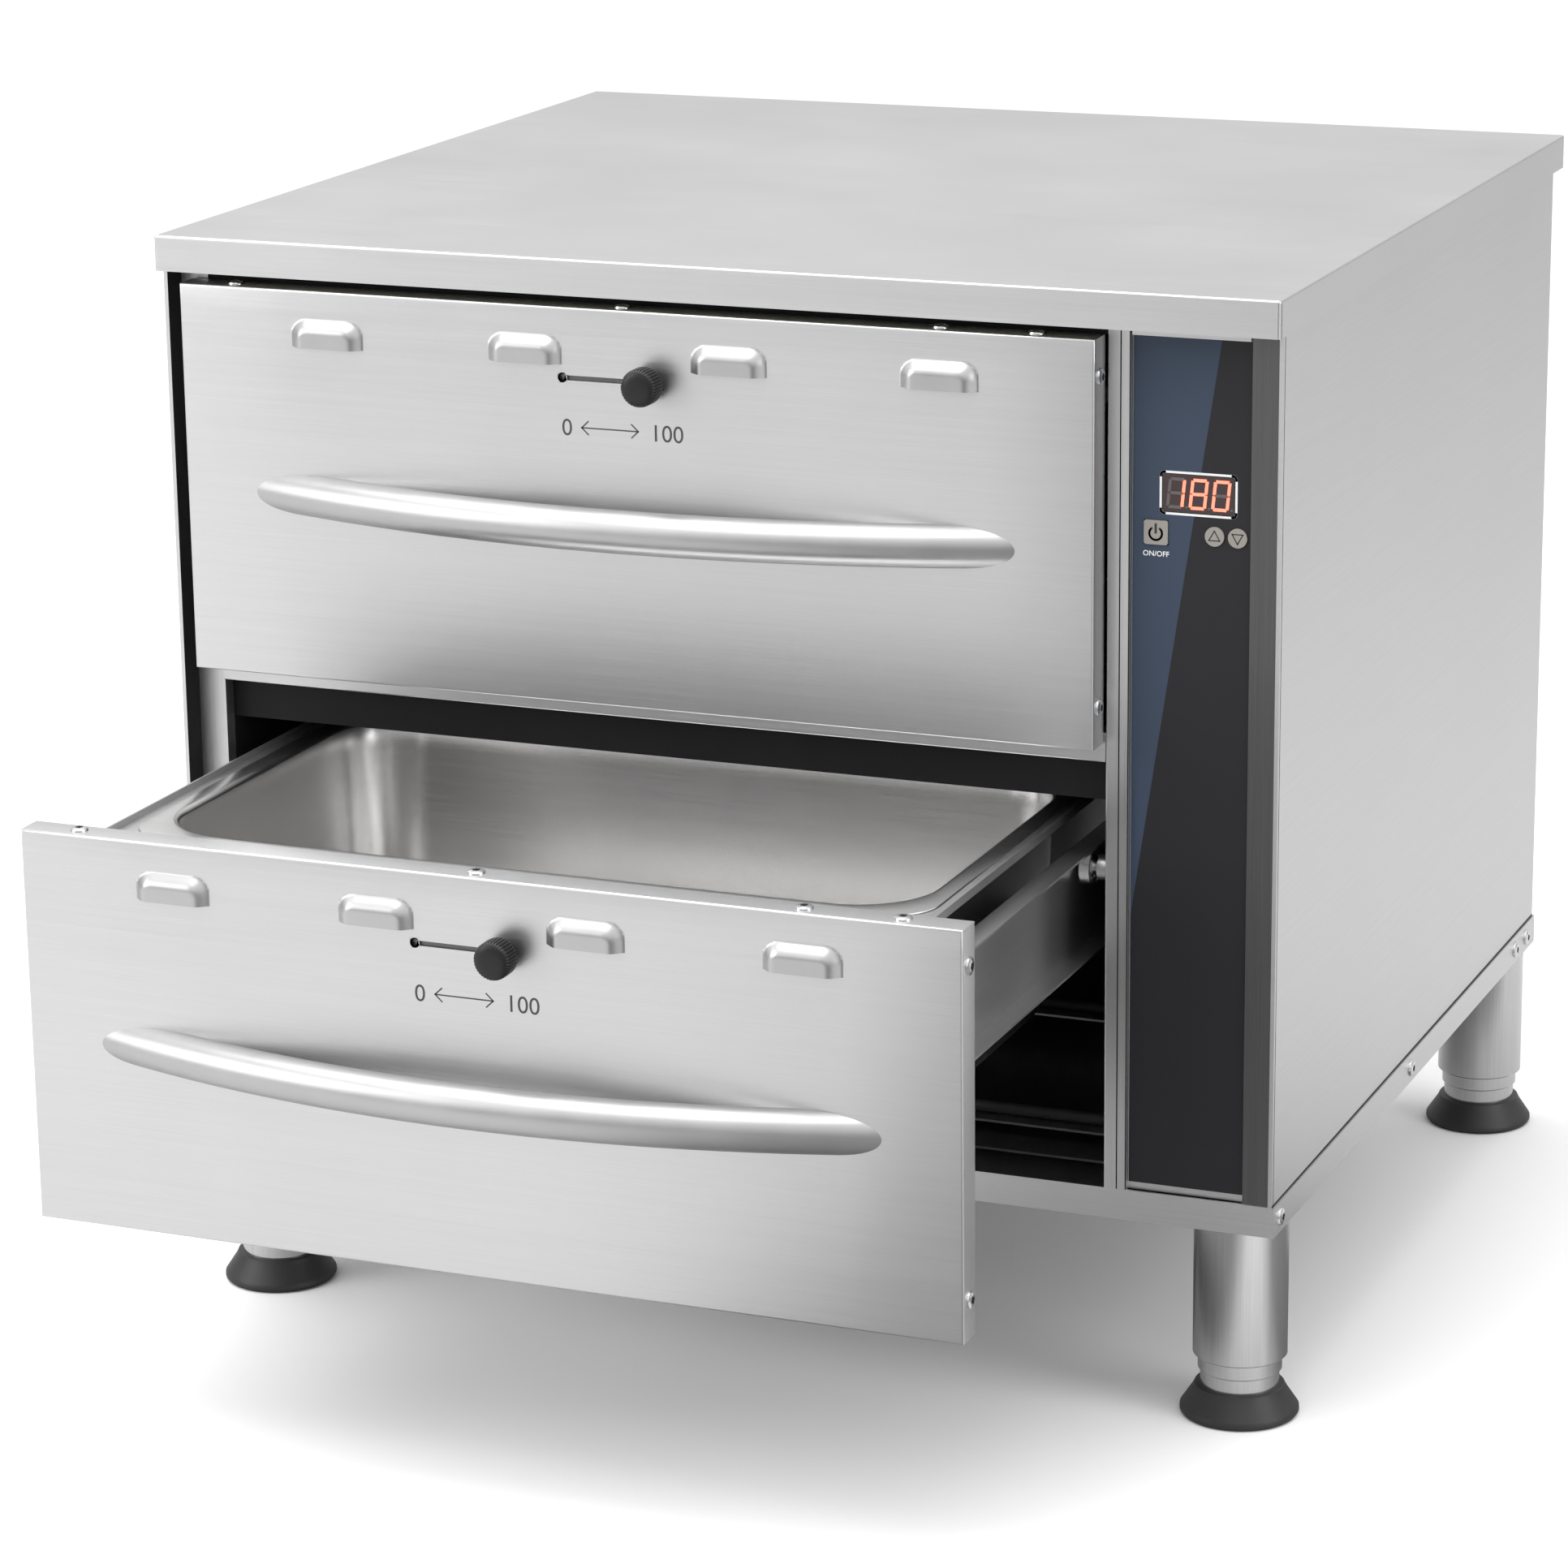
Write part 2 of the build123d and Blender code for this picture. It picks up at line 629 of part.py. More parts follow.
sleeve_radius = leg_radius - leg_wall - sleeve_play
for name, (x, y) in leg_places.items():
    with BuildPart() as foot_sleeve:
        rod((x, y, foot_height), (0, 0, 1), sleeve_radius - sleeve_neck, sleeve_inside)
        rod((x, y, (foot_height + leg_foot) / 2), (0, 0, 1), sleeve_radius, sleeve_inside)
    save(foot_sleeve, f"{name}_foot_sleeve")
    with BuildPart() as foot_pad:
        with BuildSketch(Plane.XZ.offset(-y)):
            with BuildLine():
                Polyline((x, 0), (x + foot_radius - 2.5, 0), (x + foot_radius, 2.5),
                         (x + foot_radius, 5.0), (x + foot_top_radius, foot_height),
                         (x, foot_height), (x, 0))
            make_face()
        revolve(axis=Axis((x, y, 0), (0, 0, 1)))
    save(foot_pad, f"{name}_foot_pad")

with BuildPart() as case_screws:
    screws(base_screws_right, (1, 0, 0))
    screws(base_screws_left, (-1, 0, 0))
    screws(rear_screws, (0, 1, 0))
save(case_screws, "case_screws")

# -------------------------------------------------------------------- drawers
# Each drawer is drawn at its place in the photograph: y is where its face is.
body_length = pan_length - 2 * pan_rim
body_width = pan_width - 2 * pan_rim

for title, face, top in (("upper", lid_front, upper_top), ("lower", lid_front - drawer_open, lower_top)):
    foot = top - front_height
    back = face + front_thickness
    shift = face - lid_front
    slot_z = top - vent_drop
    top_screw_x = [front_left + inset for inset in front_screws_left]
    top_screw_x += [front_right - inset for inset in front_screws_right]
    top_screws = [(x, face + front_thickness / 2, top) for x in top_screw_x]
    side_screw_z = (top - side_screw_drop, foot + side_screw_rise)
    side_screws = [(front_right, face + front_thickness / 2, z) for z in side_screw_z]
    # The vent shutter slides behind the face; its stud comes out through the slot.
    shutter_face = face + sheet + shutter_play
    shutter_back = shutter_face + skin
    shutter_left = louvre_places[0] + vent_travel - shutter_window / 2 - shutter_ends
    shutter_right = louvre_places[-1] + vent_travel + shutter_window / 2 + shutter_ends
    shutter_head = top - louvre_drop + louvre_height + shutter_lap
    shutter_foot = shutter_head - shutter_height

    with BuildPart() as front_panel:
        slab(front_left, front_right, face, back, foot, top)
        fillet(front_panel.edges().filter_by(Axis.Y), 1.5)
        fillet(front_panel.faces().sort_by(Axis.Y)[0].edges(), 1.2)
        slab(front_left + sheet, front_right - sheet, face + sheet, back,
             foot + sheet, top - sheet, mode=Mode.SUBTRACT)
        for x in louvre_places:
            with BuildSketch(Plane.XZ.offset(-face - sheet)):
                with Locations((x, top - louvre_drop + louvre_height / 2)):
                    louvre_outline = Rectangle(louvre_width, louvre_height)
                fillet(louvre_outline.vertices().group_by(Axis.Y)[-1], louvre_radius)
            extrude(amount=louvre_proud + sheet)
        hood_edges = front_panel.faces().group_by(Axis.Y)[0].edges().group_by(Axis.Z)
        fillet([edge for level in hood_edges[1:] for edge in level], louvre_round)
        for x in louvre_places:
            with BuildSketch(Plane.XZ.offset(-face - sheet)):
                with Locations((x, top - louvre_drop + (louvre_height - sheet) / 2)):
                    hollow_outline = Rectangle(louvre_width - 2 * sheet, louvre_height - sheet)
                fillet(hollow_outline.vertices().group_by(Axis.Y)[-1], louvre_radius - sheet)
            extrude(amount=louvre_proud, mode=Mode.SUBTRACT)
        slab(keyhole_x, vent_shut_x + slot_width / 2, face, face + sheet,
             slot_z - slot_width / 2, slot_z + slot_width / 2, mode=Mode.SUBTRACT)
        rod((keyhole_x, face, slot_z), (0, 1, 0), keyhole_radius, sheet, mode=Mode.SUBTRACT)
        for z0 in (shutter_foot - shutter_play - sheet, shutter_head + shutter_play):
            slab(shutter_left - vent_travel, shutter_right, face + sheet, shutter_back + sheet,
                 z0, z0 + sheet)
        screw_holes(top_screws, (0, 0, 1))
        screw_holes(side_screws, (1, 0, 0))
    save(front_panel, f"{title}_front_panel")

    seat = top - pan_seat_drop
    ledge_top = seat - sheet
    with BuildPart() as front_liner:
        slab(front_left + sheet, front_right - sheet, back - sheet, back, foot + sheet, top - sheet)
        slab(front_left + sheet, front_right - sheet, face + sheet * 3, back, top - 2 * sheet, top - sheet)
        slab(front_right - 2 * sheet, front_right - sheet, face + sheet * 3, back,
             foot + sheet, top - sheet)
        slab(front_left + sheet, front_left + 2 * sheet, face + sheet * 3, back,
             foot + sheet, top - sheet)
        slab(box_centre - frame_half, box_centre + frame_half, back, back + pan_front_gap + ledge_lap,
             ledge_top - sheet, ledge_top)
        screw_holes(top_screws, (0, 0, 1))
        screw_holes(side_screws, (1, 0, 0))
    save(front_liner, f"{title}_front_liner")

    with BuildPart() as drawer_screws:
        screws(top_screws, (0, 0, 1))
        screws(side_screws, (1, 0, 0))
    save(drawer_screws, f"{title}_drawer_screws")

    # The handle is a round bar bent to one large radius; both ends run into the face.
    half_span = handle_span / 2
    outer_bend = (half_span ** 2 + handle_reach ** 2) / (2 * handle_reach)
    bend_radius = outer_bend - handle_radius
    lean = degrees(asin(half_span / outer_bend))
    bend_y = face - handle_reach + outer_bend
    with BuildPart() as handle:
        with BuildLine(Plane.XY.offset(foot + handle_height)) as bow:
            CenterArc((front_middle, bend_y), bend_radius, 270 - lean, 2 * lean)
        with BuildSketch(Plane(origin=bow.line @ 0, z_dir=bow.line % 0)):
            Circle(handle_radius)
        sweep()
        slab(front_middle - handle_span, front_middle + handle_span, face, face + 4 * handle_radius,
             foot, top, mode=Mode.SUBTRACT)
    save(handle, f"{title}_handle")

    # Rails, cross bars and the rear roller axles are one welded carriage.
    rail_top = top - carriage_rail_drop
    rail_foot = rail_top - carriage_rail_height
    rail_end = frame_front + rail_reach + shift
    axle_y = rail_end - rear_roller_inset
    axle_z = roller_level(top)
    frame_back = back + pan_front_gap + frame_depth
    with BuildPart() as carriage:
        for side in (-1, 1):
            side_slab(side, rail_web, rail_open, back, rail_end, rail_foot, rail_top)
            side_slab(side, rail_web + sheet, rail_open, back + sheet, rail_end,
                      rail_foot + sheet, rail_top - sheet, mode=Mode.SUBTRACT)
            rod((across(side, rail_web), axle_y, axle_z), (side, 0, 0), axle_radius,
                rear_roller_near + roller_width + 1.0 - rail_web)
        slab(box_centre - rail_web, box_centre + rail_web, frame_back - ledge_lap,
             frame_back - ledge_lap + sheet, rail_foot, ledge_top)
        slab(box_centre - frame_half, box_centre + frame_half, frame_back - ledge_lap, frame_back,
             ledge_top - sheet, ledge_top)
        slab(box_centre - rail_web, box_centre + rail_web, rail_end - sheet, rail_end,
             rail_foot, rail_top)
    save(carriage, f"{title}_carriage")

    with BuildPart() as rear_rollers:
        for side in (-1, 1):
            hub = (across(side, rear_roller_near), axle_y, axle_z)
            rod(hub, (side, 0, 0), roller_radius, roller_width)
            rod(hub, (side, 0, 0), axle_radius + axle_fit, roller_width, mode=Mode.SUBTRACT)
    save(rear_rollers, f"{title}_rear_rollers")

    frame_middle = back + pan_front_gap + frame_depth / 2
    with BuildPart() as pan_frame:
        with BuildSketch(Plane.XY.offset(ledge_top)):
            with Locations((box_centre, frame_middle)):
                RectangleRounded(2 * frame_half, frame_depth, 6.0)
        extrude(amount=sheet + lip_height)
        with BuildSketch(Plane.XY.offset(seat)):
            with Locations((box_centre, frame_middle)):
                RectangleRounded(2 * frame_half - 2 * sheet, frame_depth - 2 * sheet, 6.0 - sheet)
        extrude(amount=lip_height, mode=Mode.SUBTRACT)
        with BuildSketch(Plane.XY.offset(ledge_top)):
            with Locations((box_centre, frame_middle)):
                RectangleRounded(body_length + 2 * pan_play, body_width + 2 * pan_play, pan_corner)
        extrude(amount=sheet, mode=Mode.SUBTRACT)
    save(pan_frame, f"{title}_pan_frame")

    with BuildPart() as pan_hollow:
        with BuildSketch(Plane.XY.offset(seat + pan_wall)):
            with Locations((box_centre, frame_middle)):
                RectangleRounded(body_length - 2 * pan_wall, body_width - 2 * pan_wall,
                                 pan_corner - pan_wall)
        extrude(amount=-pan_depth, taper=pan_taper)
        fillet(pan_hollow.faces().sort_by(Axis.Z)[0].edges(), pan_bottom_radius - pan_wall)

    with BuildPart() as pan:
        with BuildSketch(Plane.XY.offset(seat)):
            with Locations((box_centre, frame_middle)):
                RectangleRounded(body_length, body_width, pan_corner)
        extrude(amount=-pan_depth, taper=pan_taper)
        fillet(pan.faces().sort_by(Axis.Z)[0].edges(), pan_bottom_radius)
        with BuildSketch(Plane.XY.offset(seat)):
            with Locations((box_centre, frame_middle)):
                RectangleRounded(pan_length, pan_width, pan_corner * 0.6)
        extrude(amount=pan_wall)
        add(pan_hollow.part, mode=Mode.SUBTRACT)
    save(pan, f"{title}_pan")

    with BuildPart() as vent_shutter:
        slab(shutter_left, shutter_right, shutter_face, shutter_back, shutter_foot, shutter_head)
        for x in louvre_places:
            slab(x + vent_travel - shutter_window / 2, x + vent_travel + shutter_window / 2,
                 shutter_face, shutter_back, top - louvre_drop, top - louvre_drop + louvre_height,
                 mode=Mode.SUBTRACT)
        rod((vent_shut_x, face - knob_gap, slot_z), (0, 1, 0), stud_radius,
            shutter_back - face + knob_gap)
    save(vent_shutter, f"{title}_vent_shutter")

    with BuildPart() as vent_knob:
        with Locations(Plane((vent_shut_x, face - knob_gap, slot_z), z_dir=(0, -1, 0))):
            Cylinder(knob_radius, knob_length, align=(Align.CENTER, Align.CENTER, Align.MIN))
        fillet(vent_knob.edges().filter_by(GeomType.CIRCLE), 2.0)
        with Locations(Plane((vent_shut_x, face - knob_gap, slot_z), z_dir=(0, -1, 0))):
            with PolarLocations(knob_radius, 24):
                Cylinder(0.7, knob_length, align=(Align.CENTER, Align.CENTER, Align.MIN),
                         mode=Mode.SUBTRACT)
    save(vent_knob, f"{title}_vent_knob")
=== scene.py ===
"""Looks of the countertop warming drawer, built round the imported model. Metres."""

import math

import bmesh
import bpy
from mathutils import Matrix, Vector


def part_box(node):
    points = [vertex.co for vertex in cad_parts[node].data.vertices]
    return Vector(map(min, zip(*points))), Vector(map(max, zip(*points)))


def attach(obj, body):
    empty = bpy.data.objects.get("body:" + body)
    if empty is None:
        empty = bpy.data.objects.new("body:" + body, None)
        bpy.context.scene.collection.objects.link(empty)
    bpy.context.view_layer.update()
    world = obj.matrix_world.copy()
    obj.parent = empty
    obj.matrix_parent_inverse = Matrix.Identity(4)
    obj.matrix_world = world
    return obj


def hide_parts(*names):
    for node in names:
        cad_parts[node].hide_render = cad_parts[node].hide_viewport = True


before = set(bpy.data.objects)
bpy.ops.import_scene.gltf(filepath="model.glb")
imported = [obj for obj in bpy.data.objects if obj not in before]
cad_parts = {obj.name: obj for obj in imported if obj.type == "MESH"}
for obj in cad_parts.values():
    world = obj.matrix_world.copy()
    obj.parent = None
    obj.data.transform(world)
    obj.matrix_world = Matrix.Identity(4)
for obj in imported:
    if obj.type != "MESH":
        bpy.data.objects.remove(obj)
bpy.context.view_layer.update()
MM = 0.001


# ------------------------------------------------------------------- shaders
class Link:
    """A shader socket that takes part in plain arithmetic."""

    def __init__(self, tree, socket):
        self.tree = tree
        self.socket = socket

    def math(self, operation, *others, first=None):
        node = self.tree.nodes.new("ShaderNodeMath")
        node.operation = operation
        for hole, item in zip(node.inputs, (self if first is None else first, *others)):
            plug(self.tree, hole, item)
        return Link(self.tree, node.outputs[0])

    def __add__(self, other):
        return self.math("ADD", other)

    def __radd__(self, other):
        return self.math("ADD", other)

    def __sub__(self, other):
        return self.math("SUBTRACT", other)

    def __rsub__(self, other):
        return self.math("SUBTRACT", self, first=other)

    def __mul__(self, other):
        return self.math("MULTIPLY", other)

    def __rmul__(self, other):
        return self.math("MULTIPLY", other)

    def clamp(self):
        return self.math("MAXIMUM", 0.0).math("MINIMUM", 1.0)

    def above(self, level, width):
        """0 below the level, 1 above it, with a ramp of the given width."""
        return ((self - level) * (1.0 / width) + 0.5).clamp()


def plug(tree, hole, item):
    if isinstance(item, Link):
        tree.links.new(item.socket, hole)
    elif hasattr(item, "__len__") and len(item) == 3 and len(hole.default_value) == 4:
        hole.default_value = (*item, 1.0)
    else:
        hole.default_value = item


class Finish:
    """A Principled material with object coordinates at hand."""

    def __init__(self, name, colour=(0.5, 0.5, 0.5), rough=0.5, metal=0.0, **constants):
        self.material = bpy.data.materials.new(name)
        self.material.use_nodes = True
        self.tree = self.material.node_tree
        self.shader = self.tree.nodes["Principled BSDF"]
        self.set("Base Color", colour)
        self.set("Roughness", rough)
        self.set("Metallic", metal)
        for title, value in constants.items():
            self.set(title.replace("_", " ").title().replace("Ior", "IOR"), value)
        self.place = self.node("ShaderNodeTexCoord", output="Object")

    def set(self, title, item):
        plug(self.tree, self.shader.inputs[title], item)

    def node(self, kind, *inputs, output=0, **settings):
        made = self.tree.nodes.new(kind)
        for title, value in settings.items():
            setattr(made, title, value)
        for hole, item in zip(made.inputs, inputs):
            if item is not None:
                plug(self.tree, hole, item)
        return Link(self.tree, made.outputs[output])

    def axes(self):
        parts = self.node("ShaderNodeSeparateXYZ", self.place)
        node = parts.socket.node
        return [Link(self.tree, node.outputs[i]) for i in range(3)]

    def noise(self, scale, detail=2.0, rough=0.5):
        spread = self.node("ShaderNodeVectorMath", self.place, scale, operation="MULTIPLY")
        return self.node("ShaderNodeTexNoise", spread, None, 1.0, detail, rough)

    def blend(self, amount, low, high):
        made = self.tree.nodes.new("ShaderNodeMix")
        made.data_type = "RGBA"
        plug(self.tree, made.inputs[0], amount)
        plug(self.tree, made.inputs[6], low)
        plug(self.tree, made.inputs[7], high)
        return Link(self.tree, made.outputs[2])

    def bump(self, height, strength, distance):
        made = self.tree.nodes.new("ShaderNodeBump")
        made.inputs["Strength"].default_value = strength
        made.inputs["Distance"].default_value = distance
        plug(self.tree, made.inputs["Height"], height)
        self.set("Normal", Link(self.tree, made.outputs[0]))


def brushed(name, fine, low, high, rough, spread, bump):
    """Brushed steel: fine is the grain's frequency per metre along X, Y and Z."""
    made = Finish(name, metal=1.0)
    grain = made.noise(fine, 4.0, 0.7)
    coarse = made.noise([f * 0.22 for f in fine], 3.0, 0.6)
    cloud = made.noise((5.0, 5.0, 5.0), 3.0, 0.55)
    streaks = grain * 0.7 + coarse * 0.3
    made.set("Base Color", made.blend((streaks * 0.7 + cloud * 0.3).above(0.5, 0.5), low, high))
    made.set("Roughness", streaks * spread + cloud * 0.08 + (rough - spread * 0.5 - 0.04))
    made.bump(streaks, bump, 0.0004)
    return made.material


def satin(name, low, high, rough):
    """Smooth satin metal with a faint cloudiness."""
    made = Finish(name, metal=1.0)
    cloud = made.noise((30.0, 30.0, 30.0), 4.0, 0.6)
    made.set("Base Color", made.blend(cloud, low, high))
    made.set("Roughness", cloud * 0.12 + (rough - 0.06))
    return made.material


def plastic(name, low, high, rough, grain=900.0, bump=0.15, **constants):
    made = Finish(name, **constants)
    speck = made.noise((grain, grain, grain), 3.0, 0.6)
    cloud = made.noise((25.0, 25.0, 25.0), 3.0, 0.5)
    made.set("Base Color", made.blend(cloud, low, high))
    made.set("Roughness", speck * 0.12 + cloud * 0.1 + (rough - 0.11))
    made.bump(speck, bump, 0.0002)
    return made.material


STEEL_LOW, STEEL_HIGH = (0.53, 0.53, 0.533), (0.65, 0.65, 0.653)
across_grain = brushed("steel_across", (9, 1500, 1500), STEEL_LOW, STEEL_HIGH, 0.36, 0.20, 0.22)
upright_grain = brushed("steel_upright", (1100, 1100, 9), STEEL_LOW, STEEL_HIGH, 0.36, 0.20, 0.30)
depth_grain = brushed("steel_depth", (1200, 9, 1200), STEEL_LOW, STEEL_HIGH, 0.38, 0.16, 0.12)
leg_steel = brushed("steel_leg", (900, 900, 14), (0.46, 0.46, 0.465), (0.66, 0.66, 0.665), 0.21, 0.10, 0.12)
pan_steel = brushed("steel_pan", (14, 700, 700), (0.66, 0.655, 0.65), (0.78, 0.775, 0.77), 0.24, 0.08, 0.07)
handle_steel = satin("steel_handle", (0.41, 0.41, 0.412), (0.48, 0.48, 0.482), 0.40)
# painted shade: a darker, grainless copy of the front's steel for the louvre hoods, toning down their
# highlights
pressed_steel_shaded = satin("steel_pressed_painted_shade", (0.42, 0.42, 0.422), (0.50, 0.50, 0.502), 0.36)
# painted shade: brushed steel made near black, standing in for the shade on the right corner post; the vent
# shutters take it too
painted_shade_steel = brushed("steel_painted_shade", (1100, 1100, 9), (0.10, 0.10, 0.103), (0.17, 0.17, 0.173), 0.40, 0.16, 0.20)
bright_metal = satin("bright_metal", (0.62, 0.62, 0.63), (0.74, 0.74, 0.75), 0.2)
# near black on the cavity walls, ceiling and deck; also painted shade in screw recesses, beside the drawer
# fronts and in dark lines
black_lining_and_shade = plastic("cavity_black_and_painted_shade", (0.006, 0.006, 0.007), (0.012, 0.012, 0.013), 0.62, 500.0, 0.1,
                 specular_ior_level=0.2)
sheath = plastic("heater_sheath", (0.030, 0.030, 0.032), (0.060, 0.058, 0.056), 0.5, 700.0, 0.2)
black_plastic = plastic("black_plastic", (0.006, 0.006, 0.007), (0.012, 0.012, 0.013), 0.36,
                        specular_ior_level=0.35)
rubber = plastic("black_rubber", (0.011, 0.011, 0.012), (0.022, 0.022, 0.023), 0.5, 600.0, 0.25)
wool = plastic("mineral_wool", (0.55, 0.48, 0.28), (0.72, 0.66, 0.45), 0.9, 400.0, 0.8)
key_grey = plastic("key_grey", (0.27, 0.25, 0.225), (0.33, 0.31, 0.285), 0.5, 1200.0, 0.2)
ink = plastic("legend_ink", (0.045, 0.045, 0.05), (0.07, 0.07, 0.075), 0.55, 1500.0, 0.1)
icon_ink = plastic("icon_ink", (0.02, 0.02, 0.022), (0.03, 0.03, 0.033), 0.5, 1500.0, 0.1)
white_ink = plastic("white_ink", (0.80, 0.80, 0.80), (0.88, 0.88, 0.88), 0.5, 1500.0, 0.1)
lens = plastic("display_lens", (0.030, 0.016, 0.016), (0.045, 0.024, 0.024), 0.2, 900.0, 0.02)


def glowing(name, colour, strength):
    made = Finish(name, colour, 0.4)
    flicker = made.noise((600.0, 600.0, 600.0), 2.0, 0.5)
    made.set("Emission Color", made.blend(flicker, [c * 0.85 for c in colour], colour))
    made.shader.inputs["Emission Strength"].default_value = strength
    return made.material


digit_lit = glowing("digit_lit", (1.0, 0.16, 0.10), 2.2)
digit_dim = plastic("digit_dim", (0.10, 0.085, 0.085), (0.13, 0.11, 0.11), 0.4, 900.0, 0.05)


# the blue field's slanting edge: metres across per metre of height, and its place at the floor
SLANT, SLANT_FOOT = 0.152, 0.2264


def overlay_finish():
    """Satin film, dark blue on the left of a slanting edge and charcoal on its right."""
    made = Finish("graphic_film", rough=0.42, specular_ior_level=0.3)
    x, _, z = made.axes()
    edge = z * SLANT + SLANT_FOOT
    charcoal = (x - edge).above(0.0, 0.0004)
    speck = made.noise((1600.0, 1600.0, 1600.0), 3.0, 0.6)
    blue = made.blend(speck, (0.030, 0.045, 0.075), (0.050, 0.072, 0.112))
    grey = made.blend(speck, (0.012, 0.012, 0.014), (0.021, 0.021, 0.024))
    made.set("Base Color", made.blend(charcoal, blue, grey))
    made.set("Roughness", speck * 0.12 + 0.42)
    made.bump(speck, 0.12, 0.0001)
    return made.material


film = overlay_finish()

# ------------------------------------------------- materials of the CAD nodes
LOOKS = {
    across_grain: ["top_cover", "middle_rail", "base_tray", "upper_pan_frame", "lower_pan_frame",
                   "upper_front_liner", "lower_front_liner", "control_fascia", "heater_guards"],
    upright_grain: ["left_stile", "divider_post", "back_panel"],
    depth_grain: ["left_side_panel", "right_side_panel", "upper_carriage", "lower_carriage",
                  "cabinet_runners"],
    painted_shade_steel: ["right_corner_post", "upper_vent_shutter", "lower_vent_shutter"],
    black_lining_and_shade: ["cavity_left_wall", "cavity_right_wall", "cavity_back_wall", "cavity_ceiling",
             "middle_deck"],
    sheath: ["heating_elements", "temperature_probes"],
    black_plastic: ["controller_box", "cord_gland"],
    rubber: ["wiring_harness"],
    wool: ["insulation_slabs"],
    key_grey: ["power_button", "up_button", "down_button"],
    film: ["graphic_overlay"],
    lens: ["display_module"],
}
for look, names in LOOKS.items():
    for name in names:
        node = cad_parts[name]
        node.data.materials.clear()
        node.data.materials.append(look)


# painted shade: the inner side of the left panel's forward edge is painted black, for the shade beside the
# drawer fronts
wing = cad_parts["left_side_panel"]
wing.data.materials.append(black_lining_and_shade)
for cell in wing.data.polygons:
    if cell.normal.x > 0.9:
        cell.material_index = 1


# ------------------------------------------------------------------ geometry
TINY = 1e-6
SCREW_R, SCREW_UP = 5.6 * MM, 2.2 * MM
INK_UP, ICON_UP = 0.04 * MM, 0.05 * MM


def span(start, end, count):
    """Evenly spaced values from the start to the end."""
    return [start + (end - start) * i / count for i in range(count + 1)]


def in_mm(*pairs):
    """A profile written in millimetres, in metres."""
    return [(radius * MM, height * MM) for radius, height in pairs]


def piece(name, bm, looks, body, slot, *nodes, angle=35.0):
    """Turn a bmesh into an object that rides on a body."""
    mesh = bpy.data.meshes.new(name)
    bmesh.ops.remove_doubles(bm, verts=bm.verts, dist=TINY)
    bmesh.ops.recalc_face_normals(bm, faces=bm.faces)
    bm.to_mesh(mesh)
    bm.free()
    for look in looks if isinstance(looks, (list, tuple)) else [looks]:
        mesh.materials.append(look)
    mesh.shade_smooth()
    mesh.set_sharp_from_angle(angle=math.radians(angle))
    made = bpy.data.objects.new(name, mesh)
    bpy.context.scene.collection.objects.link(made)
    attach(made, body)
    if nodes:
        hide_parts(*nodes)
    return made


def turned(origin, axis):
    """A frame at a point whose Z runs along an axis."""
    return Matrix.Translation(origin) @ Vector(axis).to_track_quat("Z", "Y").to_matrix().to_4x4()


def lathe(bm, profile, origin, axis, steps=72):
    """Spin a profile of (radius, height) pairs about an axis."""
    before = set(bm.verts)
    verts = [bm.verts.new((radius, 0.0, height)) for radius, height in profile]
    edges = [bm.edges.new(pair) for pair in zip(verts, verts[1:])]
    bmesh.ops.spin(bm, geom=verts + edges, cent=(0, 0, 0), axis=(0, 0, 1), angle=math.tau,
                   steps=steps, use_merge=True)
    bmesh.ops.remove_doubles(bm, verts=[v for v in bm.verts if v not in before], dist=1e-7)
    bmesh.ops.transform(bm, matrix=turned(origin, axis), verts=[v for v in bm.verts if v not in before])


def block(bm, low, high):
    """A box between two corners."""
    size = [far - near for near, far in zip(low, high)]
    middle = [(near + far) / 2 for near, far in zip(low, high)]
    bmesh.ops.create_cube(bm, size=1.0, matrix=Matrix.Translation(middle) @ Matrix.Diagonal((*size, 1.0)))


def loft(bm, loops, close=False):
    """Draw the first ring out through the others, and close the last one where asked."""
    ring = [bm.verts.new(point) for point in loops[0]]
    edges = [bm.edges.new(pair) for pair in zip(ring, ring[1:] + ring[:1])]
    for loop in loops[1:]:
        grown = bmesh.ops.extrude_edge_only(bm, edges=edges)["geom"]
        edges = [item for item in grown if isinstance(item, bmesh.types.BMEdge)]
        fresh = {item for item in grown if isinstance(item, bmesh.types.BMVert)}
        ring = [next(e.other_vert(v) for e in v.link_edges if e.other_vert(v) in fresh) for v in ring]
        for vert, point in zip(ring, loop):
            vert.co = point
    return bm.faces.new(ring) if close else None


def rounded(half_x, half_y, radius, cx, cy, z, steps):
    """Points of a rounded rectangle, as vectors."""
    points = []
    for sx, sy, start in ((1, 1, 0), (-1, 1, 90), (-1, -1, 180), (1, -1, 270)):
        for i in range(steps + 1):
            a = math.radians(start + 90.0 * i / steps)
            points.append(Vector((cx + sx * (half_x - radius) + radius * math.cos(a),
                                  cy + sy * (half_y - radius) + radius * math.sin(a), z)))
    return points


def screw_heads(bm, places, direction):
    """Pan heads with a six-lobed recess, standing on the given points."""
    sides = 32
    dome = [(SCREW_R * share, SCREW_UP * up)
            for share, up in ((1.0, 0.0), (1.0, 0.25), (0.93, 0.62), (0.72, 0.9), (0.5, 1.0))]
    turns = [math.tau * i / sides for i in range(sides)]
    flat = [SCREW_R * 0.5] * sides
    lobes = [SCREW_R * 0.42 * (1.0 + 0.16 * math.cos(6 * a)) for a in turns]
    for place in places:
        lathe(bm, dome, place, direction, sides)
        turn = turned(place, direction)
        rings = [[turn @ Vector((radius * math.cos(a), radius * math.sin(a), up))
                  for radius, a in zip(radii, turns)]
                 for radii, up in ((flat, SCREW_UP), (lobes, SCREW_UP), (lobes, SCREW_UP * 0.55))]
        # painted shade: the floor of the recess takes the black, for the shade in the recess
        loft(bm, rings, close=True).material_index = 1


